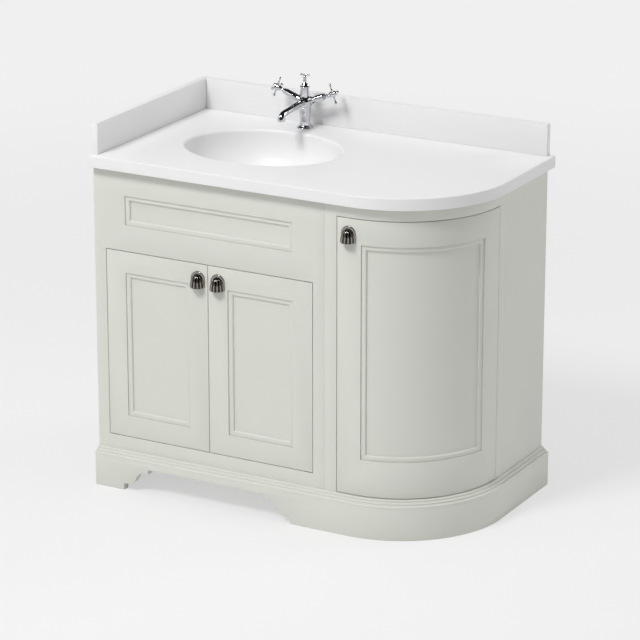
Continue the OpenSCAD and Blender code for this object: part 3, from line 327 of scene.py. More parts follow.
class Skin:
    """Corners and faces of one piece, gathered in the shop drawing's millimetres."""

    def __init__(self, turn: Matrix | None = None) -> None:
        """Start an empty skin.

        Args:
            turn: moves each point that is added, from the piece's own frame to the drawing's.
        """
        self.corners: list[Vector] = []
        self.faces: list[tuple[int, ...]] = []
        self.slots: list[int] = []
        self.slot = 0
        self.turn = turn or Matrix.Identity(4)

    def loop(self, points: Iterable[Sequence[float]]) -> list[int]:
        """Add points to the skin.

        Args:
            points: the points in the skin's own frame.

        Returns:
            Their numbers.
        """
        first = len(self.corners)
        self.corners.extend(self.turn @ Vector(p) for p in points)
        return list(range(first, len(self.corners)))

    def face(self, *numbers: int) -> None:
        """Add one face in the current material slot."""
        self.faces.append(numbers)
        self.slots.append(self.slot)

    def bridge(self, one: Sequence[int], two: Sequence[int], closed: bool = True) -> None:
        """Join two loops of the same length with quads.

        Args:
            one: numbers of the first loop's points.
            two: numbers of the second loop's points.
            closed: whether the last points are joined to the first ones too.
        """
        count = len(one)
        for i in range(count if closed else count - 1):
            j = (i + 1) % count
            self.face(one[i], one[j], two[j], two[i])

    def loft(self, loops: Sequence[Sequence[int]], closed: bool = True, ring: bool = False) -> None:
        """Join loops one after another.

        Args:
            loops: the loops in order.
            closed: whether each loop is closed.
            ring: whether the last loop is joined to the first one.
        """
        for one, two in zip(loops, loops[1:]):
            self.bridge(one, two, closed)
        if ring:
            self.bridge(loops[-1], loops[0], closed)

    def solid(self, rings: Sequence[Sequence[int]]) -> None:
        """Join rings one after another, and fill the first and the last one.

        Args:
            rings: the rings in order, each closed and with as many points.
        """
        self.loft(rings)
        self.face(*rings[0])
        self.face(*rings[-1])

    def lathe(self, profile: Iterable[tuple[float, float]], steps: int = 48) -> None:
        """Turn a profile around the skin's own z axis.

        Args:
            profile: radius and height of each ring, from one end to the other.
            steps: number of points in a ring.
        """
        rings = []
        for radius, z in profile:
            r = max(radius, POLE_R)
            rings.append(self.loop([(r * math.cos(a), r * math.sin(a), z) for a in around(steps)]))
        self.solid(rings)

    def seed(self, name: str) -> bpy.types.Mesh:
        """Return the skin as a mesh around its own origin, for a tree to start from."""
        return seed_mesh(name, [c * MM for c in self.corners], faces=self.faces)

    def piece(
        self, name: str, body: str, finishes: Sequence[Finish], *nodes: str, bevel_mm: float = 0.0,
        smooth_deg: float = 35.0,
    ) -> None:
        """Make the mesh object at the origin, with its place in its mesh, and let it ride.

        Args:
            name: the piece's name.
            body: the body that it moves with.
            finishes: one finish for each material slot in use, all of the same slot in the record.
            nodes: the CAD nodes that it replaces, if any.
            bevel_mm: width of the rounding of sharp edges, or 0.
            smooth_deg: edges sharper than this stay sharp.
        """
        mesh = bpy.data.meshes.new(name)
        mesh.from_pydata([placed(*c) for c in self.corners], [], self.faces)
        for polygon, number in zip(mesh.polygons, self.slots):
            polygon.material_index = number
        for finish in finishes:
            mesh.materials.append(finish.material())
        close_up(mesh)
        piece = new_object(name, mesh)
        if bevel_mm:
            round_edges(piece, bevel_mm)
        hand_over(piece, body, nodes, smooth_deg)


def new_object(name: str, data: Any) -> bpy.types.Object:
    """Make an object of a mesh, a lamp or a camera, and put it in the scene.

    Args:
        name: the object's name.
        data: its mesh, lamp or camera.

    Returns:
        The object, at the origin.
    """
    made = bpy.data.objects.new(name, data)
    bpy.context.scene.collection.objects.link(made)
    return made


def close_up(mesh: bpy.types.Mesh) -> None:
    """Merge a mesh's doubles and turn its faces outward.

    Args:
        mesh: the mesh, in metres.
    """
    work = bmesh.new()
    work.from_mesh(mesh)
    bmesh.ops.remove_doubles(work, verts=work.verts, dist=DOUBLES_MM * MM)
    bmesh.ops.dissolve_degenerate(work, edges=work.edges, dist=DOUBLES_MM / 2 * MM)
    bmesh.ops.recalc_face_normals(work, faces=work.faces)
    work.to_mesh(mesh)
    work.free()


def bake(piece: bpy.types.Object) -> None:
    """Put a piece's modifiers into its mesh and remove them.

    Args:
        piece: the piece, whose mesh is replaced.
    """
    bpy.context.view_layer.update()
    seen = piece.evaluated_get(bpy.context.evaluated_depsgraph_get())
    mesh = bpy.data.meshes.new_from_object(seen)
    piece.modifiers.clear()
    piece.data = mesh


def round_edges(piece: bpy.types.Object, width_mm: float, sharper_than: float = 40.0) -> None:
    """Round a piece's sharp edges, as paint and polish do.

    Args:
        piece: the piece, which keeps its flat faces.
        width_mm: width of the rounding.
        sharper_than: only edges sharper than this many degrees are rounded.
    """
    bevel = piece.modifiers.new("arris", "BEVEL")
    bevel.width = width_mm * MM
    bevel.segments = 2
    bevel.limit_method = "ANGLE"
    bevel.angle_limit = math.radians(sharper_than)
    bake(piece)


def hand_over(
    piece: bpy.types.Object, body: str, nodes: Sequence[str], smooth_deg: float,
) -> None:
    """Shade a finished piece, report it, and let it ride on its body and stand for CAD nodes.

    Args:
        piece: the piece, with no modifier left on it.
        body: the body that it moves with.
        nodes: the CAD nodes that it replaces, if any.
        smooth_deg: edges sharper than this many degrees stay sharp.
    """
    for polygon in piece.data.polygons:
        polygon.use_smooth = True
    piece.data.set_sharp_from_angle(angle=math.radians(smooth_deg))
    LOG.info("%s on %s: %d faces", piece.name, body, len(piece.data.polygons))
    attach(piece, body)
    if nodes:
        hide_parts(*nodes)


# ---------------------------------------------------------------- geometry node trees


def new_tree(name: str, sizes: Sequence[tuple[str, str]]) -> tuple[bpy.types.NodeTree, Any, Any]:
    """Start a geometry tree with named inputs.

    Args:
        name: the tree's name.
        sizes: name and socket type of each input after the geometry.

    Returns:
        The tree, its input node and its output node.
    """
    tree = bpy.data.node_groups.new(name, "GeometryNodeTree")
    tree.interface.new_socket("Geometry", in_out="INPUT", socket_type="NodeSocketGeometry")
    for label, kind in sizes:
        tree.interface.new_socket(label, in_out="INPUT", socket_type=kind)
    tree.interface.new_socket("Geometry", in_out="OUTPUT", socket_type="NodeSocketGeometry")
    return tree, add_node(tree, "NodeGroupInput"), add_node(tree, "NodeGroupOutput")


def end_tree(tree: bpy.types.NodeTree, start: Any, end: Any, shape: bpy.types.NodeSocket) -> None:
    """Close a geometry tree with Realize Instances and Set Material.

    Args:
        tree: the geometry tree.
        start: its input node, which has an input named Finish.
        end: its output node.
        shape: the output that holds the finished shape.
    """
    real = add_node(tree, "GeometryNodeRealizeInstances", {}, {"Geometry": shape})
    painted = add_node(
        tree, "GeometryNodeSetMaterial", {},
        {"Geometry": real.outputs["Geometry"], "Material": start.outputs["Finish"]},
    )
    tree.links.new(painted.outputs["Geometry"], end.inputs["Geometry"])


@cache
def ring_tree() -> bpy.types.NodeTree:
    """Tree that repeats the piece's own mesh around an axis: ribs of a pull, arms of a handle.

    Returns:
        The tree. Its inputs are Count, First and Step in radians, Turn, Place and Finish.
    """
    tree, start, end = new_tree("copies_around_an_axis", [
        ("Count", "NodeSocketInt"), ("First", "NodeSocketFloat"), ("Step", "NodeSocketFloat"),
        ("Turn", "NodeSocketVector"), ("Place", "NodeSocketVector"), ("Finish", "NodeSocketMaterial"),
    ])
    points = add_node(tree, "GeometryNodePoints", {}, {"Count": start.outputs["Count"]})
    number = add_node(tree, "GeometryNodeInputIndex").outputs[0]
    steps = add_node(
        tree, "ShaderNodeMath", {"operation": "MULTIPLY"}, {0: number, 1: start.outputs["Step"]},
    ).outputs[0]
    angle = add_node(
        tree, "ShaderNodeMath", {"operation": "ADD"}, {0: start.outputs["First"], 1: steps},
    ).outputs[0]
    spin = add_node(tree, "ShaderNodeCombineXYZ", {}, {"Z": angle}).outputs[0]
    copies = add_node(
        tree, "GeometryNodeInstanceOnPoints", {},
        {"Points": points.outputs[0], "Instance": start.outputs["Geometry"], "Rotation": spin},
    )
    turned = add_node(
        tree, "GeometryNodeTransform", {},
        {"Geometry": copies.outputs["Instances"], "Rotation": start.outputs["Turn"],
         "Translation": start.outputs["Place"]},
    )
    end_tree(tree, start, end, turned.outputs["Geometry"])
    return tree


def peg_tree() -> bpy.types.NodeTree:
    """Tree that stands a round peg along x at each corner of the piece's mesh.

    Returns:
        The tree. Its inputs are Radius, Length and Finish.
    """
    tree, start, end = new_tree("pegs_at_points", [
        ("Radius", "NodeSocketFloat"), ("Length", "NodeSocketFloat"), ("Finish", "NodeSocketMaterial"),
    ])
    line = add_node(
        tree, "GeometryNodeCurvePrimitiveLine", {},
        {"End": add_node(tree, "ShaderNodeCombineXYZ", {}, {"X": start.outputs["Length"]}).outputs[0]},
    )
    ring = add_node(
        tree, "GeometryNodeCurvePrimitiveCircle", {}, {"Resolution": 20, "Radius": start.outputs["Radius"]},
    )
    peg = add_node(
        tree, "GeometryNodeCurveToMesh", {},
        {"Curve": line.outputs["Curve"], "Profile Curve": ring.outputs["Curve"], "Fill Caps": True},
    )
    pegs = add_node(
        tree, "GeometryNodeInstanceOnPoints", {},
        {"Points": start.outputs["Geometry"], "Instance": peg.outputs["Mesh"]},
    )
    end_tree(tree, start, end, pegs.outputs["Instances"])
    return tree


def corner_run_tree() -> bpy.types.NodeTree:
    """Tree that runs the piece's own section along the front, around the corner and down the side.

    Returns:
        The tree. Its inputs are Front, Corner and Side lengths, Start, Points and Finish.
    """
    tree, start, end = new_tree("section_around_the_corner", [
        ("Front", "NodeSocketFloat"), ("Corner", "NodeSocketFloat"), ("Side", "NodeSocketFloat"),
        ("Start", "NodeSocketVector"), ("Points", "NodeSocketInt"), ("Finish", "NodeSocketMaterial"),
    ])
    known = {name: start.outputs[name] for name in ("Front", "Corner", "Side", "Points")}
    known["number"] = add_node(tree, "GeometryNodeInputIndex").outputs[0]
    # The path's rule, step by step: how far each point has gone, its turn on the corner, and its place.
    for name, operation, *values in (
        ("arc", "MULTIPLY", "Corner", QUARTER),
        ("straights", "ADD", "Front", "Side"),
        ("whole", "ADD", "straights", "arc"),
        ("gaps", "SUBTRACT", "Points", 1.0),
        ("share", "DIVIDE", "number", "gaps"),
        ("gone", "MULTIPLY", "share", "whole"),
        ("past", "SUBTRACT", "gone", "Front"),
        ("bend", "DIVIDE", "past", "Corner"),
        ("begun", "MAXIMUM", "bend", 0.0),
        ("turn", "MINIMUM", "begun", QUARTER),
        ("ahead", "MINIMUM", "gone", "Front"),
        ("sine", "SINE", "turn"),
        ("aside", "MULTIPLY", "Corner", "sine"),
        ("x", "ADD", "ahead", "aside"),
        ("cosine", "COSINE", "turn"),
        ("versine", "SUBTRACT", 1.0, "cosine"),
        ("bow", "MULTIPLY", "Corner", "versine"),
        ("beyond", "SUBTRACT", "past", "arc"),
        ("tail", "MAXIMUM", "beyond", 0.0),
        ("y", "ADD", "bow", "tail"),
    ):
        inputs = {i: known.get(value, value) for i, value in enumerate(values)}
        known[name] = add_node(tree, "ShaderNodeMath", {"operation": operation}, inputs).outputs[0]
    where = add_node(tree, "ShaderNodeCombineXYZ", {}, {"X": known["x"], "Y": known["y"]}).outputs[0]
    line = add_node(
        tree, "GeometryNodeMeshLine", {"mode": "OFFSET"}, {"Count": start.outputs["Points"]},
    )
    bent = add_node(
        tree, "GeometryNodeSetPosition", {},
        {"Geometry": line.outputs["Mesh"], "Position": where, "Offset": start.outputs["Start"]},
    )
    path = add_node(tree, "GeometryNodeMeshToCurve", {}, {"Mesh": bent.outputs["Geometry"]})
    upright = add_node(
        tree, "GeometryNodeSetCurveNormal", {"mode": "Z_UP"}, {"Curve": path.outputs["Curve"]},
    )
    section = add_node(tree, "GeometryNodeMeshToCurve", {}, {"Mesh": start.outputs["Geometry"]})
    run = add_node(
        tree, "GeometryNodeCurveToMesh", {},
        {"Curve": upright.outputs["Curve"], "Profile Curve": section.outputs["Curve"], "Fill Caps": True},
    )
    end_tree(tree, start, end, run.outputs["Mesh"])
    return tree


def grow(
    name: str, body: str, seed: bpy.types.Mesh, tree: bpy.types.NodeTree, sizes: dict[str, Any],
    finish: Finish, *nodes: str, smooth_deg: float = 35.0,
) -> None:
    """Let a geometry tree make a piece, keep the result as a plain mesh, and let it ride.

    Args:
        name: the piece's name.
        body: the body that it moves with.
        seed: the mesh that the tree starts from.
        tree: the geometry tree.
        sizes: the tree's inputs by name, apart from Finish.
        finish: the piece's finish.
        nodes: the CAD nodes that it replaces, if any.
        smooth_deg: edges sharper than this stay sharp.
    """
    piece = new_object(name, seed)
    growth = piece.modifiers.new(tree.name, "NODES")
    growth.node_group = tree
    values = {**sizes, "Finish": finish.material()}
    for item in tree.interface.items_tree:
        if item.in_out == "INPUT" and item.name in values:
            growth[item.identifier] = values[item.name]
    bake(piece)
    close_up(piece.data)
    hand_over(piece, body, nodes, smooth_deg)


def seed_mesh(
    name: str, corners: Iterable[Vector], edges: Sequence[tuple[int, int]] = (),
    faces: Sequence[tuple[int, ...]] = (),
) -> bpy.types.Mesh:
    """Make a mesh for a tree to start from.

    Args:
        name: the mesh's name.
        corners: its corners, in metres.
        edges: pairs of the corners' numbers.
        faces: the corners' numbers of each face.

    Returns:
        The mesh.
    """
    mesh = bpy.data.meshes.new(name)
    mesh.from_pydata(list(corners), list(edges), list(faces))
    return mesh


# ---------------------------------------------------------------- the cupboards' face


@dataclass(frozen=True)
class Face:
    """The face of the cupboards, along the front, around the corner and down the side."""

    corner_x: float = 720.0
    corner_r: float = 260.0

    @property
    def arc(self) -> float:
        """Length of the rounded corner along the face."""
        return self.corner_r * QUARTER

    def side(self, by: float) -> float:
        """Give the place on the side that is this far past the corner, along the face."""
        return self.corner_x + self.arc + by

    def at(self, along: float, deep: float, up: float) -> Vector:
        """Give a point on, in front of or behind the face.

        Args:
            along: distance along the face from the wall side.
            deep: depth behind the face, negative in front of it.
            up: height above the floor.

        Returns:
            The point in the shop drawing's frame.
        """
        past = along - self.corner_x
        if past <= 0:
            return Vector((along, deep, up))
        turn = min(past / self.corner_r, QUARTER)
        radius = self.corner_r - deep
        x = self.corner_x + radius * math.sin(turn)
        y = self.corner_r - radius * math.cos(turn) + max(0.0, past - self.arc)
        return Vector((x, y, up))

    def cuts(self, start: float, end: float, step: float = 12.0) -> list[float]:
        """Cut a stretch of the face where it bends, and every few millimetres on the bend.

        Args:
            start: where the stretch starts, along the face.
            end: where it ends.
            step: greatest distance between cuts on the bend.

        Returns:
            The places along the face, with both ends.
        """
        bend_from, bend_to = max(start, self.corner_x), min(end, self.corner_x + self.arc)
        places = {start, end}
        if bend_to > bend_from:
            count = max(1, math.ceil((bend_to - bend_from) / step))
            places.update(spread(bend_from, bend_to, count))
        ordered = sorted(places)
        return [a for i, a in enumerate(ordered) if i == 0 or a - ordered[i - 1] > 1e-6]


FACE = Face()


@dataclass(frozen=True)
class Area:
    """A rectangle on the face: from left to right along it, and from low to high."""

    left: float
    right: float
    low: float
    high: float

    def inset(self, by: float) -> Area:
        """Return the rectangle that is smaller by this much on each side."""
        return Area(self.left + by, self.right - by, self.low + by, self.high - by)


@dataclass
class Ringed:
    """A piece made of rectangles within each other on the face, each at its own depth."""

    rings: list[tuple[Area, float]]
    closed: bool
    columns: list[float] = field(default_factory=list)

    def skin(self) -> Skin:
        """Build the piece's skin.

        Returns:
            Rings joined one after another, and either joined into a hoop or capped at both ends.
        """
        skin = Skin()
        first = self.rings[0][0]
        wide = first.right - first.left
        self.columns = [(a - first.left) / wide for a in FACE.cuts(first.left, first.right)]
        loops = [skin.loop(self.outline(area, deep)) for area, deep in self.rings]
        skin.loft(loops, ring=self.closed)
        if not self.closed:
            self.cap(skin, loops[0])
            self.cap(skin, loops[-1])
        return skin

    def outline(self, area: Area, deep: float) -> list[Vector]:
        """Give points around one rectangle: along its lower side, then back along its upper side.

        Args:
            area: the rectangle.
            deep: its depth behind the face.

        Returns:
            The points, two for each column.
        """
        across = [area.left + (area.right - area.left) * share for share in self.columns]
        lower = [FACE.at(a, deep, area.low) for a in across]
        upper = [FACE.at(a, deep, area.high) for a in reversed(across)]
        return lower + upper

    def cap(self, skin: Skin, loop: Sequence[int]) -> None:
        """Fill a rectangle with upright strips.

        Args:
            skin: the skin that gets the strips.
            loop: numbers of the points around the rectangle.
        """
        count = len(self.columns)
        for i in range(count - 1):
            skin.face(loop[i], loop[i + 1], loop[2 * count - 2 - i], loop[2 * count - 1 - i])


# ---------------------------------------------------------------- sub-assemblies


@dataclass
class FaceFrame:
    """The stiles and rails that the doors close into, with the fixed drawer front.

    The curved frame ends on the side, side_end past the corner.
    """

    thick: float = 22.0
    stile: float = 32.0
    straight: float = 648.0
    side_end: float = 38.0
    top: float = 830.0
    deck: float = 100.0
    rail_low: float = 82.0
    door_low: float = 136.0
    door_high: float = 623.0
    drawer_panel: Area = Area(89.0, 559.0, 689.0, 764.0)
    panel_drop: float = 8.0
    curved_high: float = 798.0
    arris: float = 0.5

    def build(self) -> None:
        """Make the straight and the curved frame, and the bead of the drawer front."""
        self.straight_frame()
        self.curved_frame()
        self.drawer_bead()

    def straight_frame(self) -> None:
        """Straight frame in one piece, because its joints are filled and painted over."""
        panel, right = self.drawer_panel, self.straight - self.stile
        across = [0.0, self.stile, panel.left, panel.right, right, self.straight]
        up = [0.0, self.rail_low, self.door_low, self.door_high, panel.low, panel.high, self.top]

        def depth(a: float, z: float) -> float | None:
            """Depth of the frame's face: none where it is open, more on the drawer's panel.

            Args:
                a: place along the face.
                z: height above the floor.

            Returns:
                The depth, or None where the frame is open.
            """
            if a < self.stile or a > right:
                return 0.0
            if z < self.rail_low or self.door_low < z < self.door_high:
                return None
            inside = panel.left < a < panel.right and panel.low < z < panel.high
            return self.panel_drop if inside else 0.0

        board = stepped_board(across, up, depth, self.thick, lambda a, z: int(self.stile < a < right))
        board.piece(
            "straight_face_frame", CABINET, [PAINT_UP, PAINT_ALONG], "stile_left", "stile_right",
            "bottom_rail", "drawer_fascia", bevel_mm=self.arris,
        )

    def curved_frame(self) -> None:
        """Frame of the curved cupboard: a stile, the bent rail over the door, and a stile on the side."""
        start, end = self.straight, FACE.side(self.side_end)
        left, right = start + self.stile, end - self.stile
        across = [start] + FACE.cuts(left, right) + [end]
        up = [0.0, self.deck, self.curved_high, self.top]

        def depth(a: float, z: float) -> float | None:
            """The frame is open between its stiles, up to the rail."""
            return None if left < a < right and z < self.curved_high else 0.0

        board = stepped_board(across, up, depth, self.thick, lambda a, z: int(left < a < right))
        board.piece(
            "curved_face_frame", CABINET, [PAINT_UP, PAINT_ALONG], "curved_stile_left",
            "curved_stile_right", "curved_top_rail", bevel_mm=self.arris,
        )

    def drawer_bead(self) -> None:
        """Bead around the drawer front's panel."""
        bead = Bead().hoop(self.drawer_panel).skin()
        bead.piece("drawer_front_bead", CABINET, [PAINT_ALONG], "drawer_fascia_bead")


def stepped_board(
    across: Sequence[float], up: Sequence[float], depth: Callable[[float, float], float | None], thick: float,
    slot: Callable[[float, float], int],
) -> Skin:
    """Build a board on the face whose front lies at a depth of its own in each field of a grid.

    Args:
        across: the grid's places along the face.
        up: the grid's heights.
        depth: gives the front's depth at a field's middle, or None where the board is open.
        thick: depth of the board's back.
        slot: gives the material slot of a field's front.

    Returns:
        The closed skin.
    """
    skin = Skin()
    known: dict[tuple[int, int, float], int] = {}

    def corner(i: int, j: int, deep: float) -> int:
        """Give the number of the grid's corner at this depth, and add it the first time.

        Args:
            i: its number along the face.
            j: its number upwards.
            deep: the depth.

        Returns:
            The point's number in the skin.
        """
        key = (i, j, deep)
        if key not in known:
            known[key] = skin.loop([FACE.at(across[i], deep, up[j])])[0]
        return known[key]

    def middle(i: int, j: int) -> tuple[float, float]:
        """Give the place of a field's middle."""
        return (across[i] + across[i + 1]) / 2, (up[j] + up[j + 1]) / 2

    def level(i: int, j: int) -> float | None:
        """Give the depth of a field, or None outside the grid."""
        within = 0 <= i < len(across) - 1 and 0 <= j < len(up) - 1
        return depth(*middle(i, j)) if within else None

    for i in range(len(across) - 1):
        for j in range(len(up) - 1):
            here = level(i, j)
            if here is None:
                continue
            skin.slot = slot(*middle(i, j))
            for deep in (here, thick):
                skin.face(corner(i, j, deep), corner(i + 1, j, deep), corner(i + 1, j + 1, deep),
                          corner(i, j + 1, deep))
            edges = {(i - 1, j): ((i, j), (i, j + 1)), (i + 1, j): ((i + 1, j), (i + 1, j + 1)),
                     (i, j - 1): ((i, j), (i + 1, j)), (i, j + 1): ((i, j + 1), (i + 1, j + 1))}
            for other, (one, two) in edges.items():
                there = level(*other)
                floor = thick if there is None else there
                if floor > here:
                    skin.face(corner(*one, here), corner(*two, here), corner(*two, floor),
                              corner(*one, floor))
    return skin


@dataclass
class Bead:
    """The moulding around a sunk panel: a flat ledge, and a rounded inner side down to the panel.

    Depths are behind the face: ledge is that of its front, foot that of the panel. The play keeps
    it clear of the frame around it.
    """

    play: float = 0.4
    wide: float = 13.0
    ledge: float = 3.0
    foot: float = 8.0
    rounded: float = 4.5
    arris: float = 0.5
    steps: int = 10

    def hoop(self, opening: Area) -> Ringed:
        """Run the bead around an opening.

        Args:
            opening: the opening that the bead lies in.

        Returns:
            The hoop, with mitred corners.
        """
        broken = 0.3 * self.arris
        rings = [(self.play, self.foot), (self.play, self.ledge + self.arris),
                 (self.play + broken, self.ledge + broken), (self.play + self.arris, self.ledge)]
        start, fall = self.wide - self.rounded, self.foot - self.ledge
        rings += [(start + self.rounded * math.sin(a), self.foot - fall * math.cos(a))
                  for a in spread(0.0, QUARTER, self.steps)]
        return Ringed([(opening.inset(by), deep) for by, deep in rings], closed=True)


@dataclass
class Door:
    """A framed door with a sunk panel, flat or bent around the corner. Its body has its name."""

    name: str
    leaf: Area
    opening: Area
    thick: float = 20.0
    panel_drop: float = 8.0
    panel_thick: float = 7.0
    groove: float = 8.0
    play: float = 0.5
    arris: float = 0.35

    def build(self) -> None:
        """Make the door's frame, panel and bead."""
        parts = (
            ("stiles_and_rails", "frame", Ringed(self.frame_rings(), closed=True)),
            ("sunk_panel", "panel", Ringed(self.panel_rings(), closed=False)),
            ("panel_bead", "bead", Bead().hoop(self.opening)),
        )
        for label, node, rings in parts:
            rings.skin().piece(f"{self.name}_{label}", self.name, [PAINT_UP], f"{self.name}_{node}")

    def frame_rings(self) -> list[tuple[Area, float]]:
        """Give the frame's section, from the back of its outer edge round to that of the opening.

        Returns:
            Rectangles and their depths.
        """
        out, hole, r = self.leaf, self.opening, self.arris
        deep = self.panel_drop + self.panel_thick
        grooved = hole.inset(-self.groove)
        return [
            (out, self.thick), (out, r), (out.inset(r * 0.3), r * 0.3), (out.inset(r), 0.0),
            (hole.inset(-r), 0.0), (hole.inset(-r * 0.3), r * 0.3), (hole, r), (hole, self.panel_drop),
            (grooved, self.panel_drop), (grooved, deep), (hole, deep), (hole, self.thick),
        ]

    def panel_rings(self) -> list[tuple[Area, float]]:
        """Section of the panel, from its back to its face."""
        edge = self.opening.inset(self.play - self.groove)
        return [(edge, self.panel_drop + self.panel_thick), (edge, self.panel_drop)]


@dataclass
class Plinth:
    """The plinth boards with their arch, and the reeded moulding on top.

    The arch runs from the foot's inner edge to arch_to. Each of its ends rises in a step, an ogee
    and a step again. The moulding's path has as many points as stations.
    """

    high: float = 82.0
    thick: float = 20.0
    end_y: float = 530.0
    foot: float = 84.0
    arch_to: float = 562.0
    arch_high: float = 65.0
    foot_end: float = 18.0
    step_high: float = 11.0
    step_wide: float = 11.0
    shape_wide: float = 72.0
    mould_high: float = 18.0
    reed: float = 3.3
    reeds: int = 3
    arris: float = 0.8
    stations: int = 281

    @property
    def end(self) -> float:
        """Where the plinth ends, along the face."""
        return FACE.side(self.end_y) - FACE.corner_r

    def build(self) -> None:
        """Make the boards in one piece, and run the moulding along them."""
        self.boards()
        self.moulding()

    def foot_curve(self) -> Outline:
        """Shaped end of the arch: along from the foot's inner edge, and up.

        Returns:
            The points from the floor to the top of the arch.
        """
        wide = self.shape_wide - 2 * self.step_wide
        tall = self.arch_high - self.step_high - self.foot_end
        lean = 2 * math.atan(tall / wide)
        radius = wide / 2 / math.sin(lean)
        turns = spread(0.0, lean, 10)
        lower = [(radius * math.sin(a), radius * (1 - math.cos(a))) for a in turns]
        upper = [(wide - x, tall - z) for x, z in reversed(lower[:-1])]
        ogee = [(self.step_wide + x, self.foot_end + z) for x, z in lower + upper]
        return [(0.0, 0.0), (0.0, self.foot_end)] + ogee + [
            (self.shape_wide, self.arch_high - self.step_high), (self.shape_wide, self.arch_high)]

    def boards(self) -> None:
        """Front board with its arch, running on around the corner and down the side."""
        curve = self.foot_curve()
        outline = [(0.0, self.high), (0.0, 0.0)] + [(self.foot + x, z) for x, z in curve]
        outline += [(self.arch_to - x, z) for x, z in reversed(curve)]
        outline += [(FACE.corner_x, 0.0), (FACE.corner_x, self.high)]
        skin = Skin()
        front = skin.loop([FACE.at(a, -self.thick, z) for a, z in outline])
        back = skin.loop([FACE.at(a, 0.0, z) for a, z in outline])
        skin.face(*front)
        skin.face(*back)
        last = len(outline) - 1
        for i in range(last + 1):
            if i != last - 1:  # The run around the corner starts at that edge, so it stays open.
                j = (i + 1) % (last + 1)
                skin.face(front[i], front[j], back[j], back[i])
        section = [front[last], front[last - 1], back[last - 1], back[last]]
        for along in FACE.cuts(FACE.corner_x, self.end)[1:]:
            deeps = [(-self.thick, self.high), (-self.thick, 0.0), (0.0, 0.0), (0.0, self.high)]
            following = skin.loop([FACE.at(along, d, z) for d, z in deeps])
            skin.bridge(section, following)
            section = following
        skin.face(*section)
        skin.piece(
            "plinth_boards", CABINET, [PAINT_ALONG], "plinth_front", "plinth_curve", "plinth_side",
            bevel_mm=self.arris,
        )

    def section(self) -> Outline:
        """Section of the moulding: out from the face, and up from the plinth's top.

        Returns:
            A closed outline, whose reeds step down and out.
        """
        run = (self.thick - 2 * self.reed) / (self.reeds - 1)
        fall = (self.mould_high - 2 * self.reed) / (self.reeds - 1)
        outline = [(0.0, 0.0), (0.0, self.mould_high)]
        for i in range(self.reeds):
            x, z = self.reed + i * run, self.mould_high - self.reed - i * fall
            # Each reed is a half round; the outer ones run on into the flat top and front.
            first = 90 if i == 0 else 118
            last = 0 if i == self.reeds - 1 else -28
            outline += arc_points((x, z), self.reed, first, last, 10)
        return outline + [(self.thick, 0.0)]

    def moulding(self) -> None:
        """Reeded moulding all along the front, the corner and the side."""
        points = [Vector((x * MM, -z * MM, 0.0)) for x, z in self.section()]
        edges = [(i, (i + 1) % len(points)) for i in range(len(points))]
        seed = seed_mesh("moulding_section", points, edges)
        grow("reeded_plinth_moulding", CABINET, seed, corner_run_tree(), {
            "Front": FACE.corner_x * MM, "Corner": FACE.corner_r * MM,
            "Side": (self.end_y - FACE.corner_r) * MM, "Start": placed(0, 0, self.high),
            "Points": self.stations,
        }, PAINT_ALONG, "plinth_moulding")


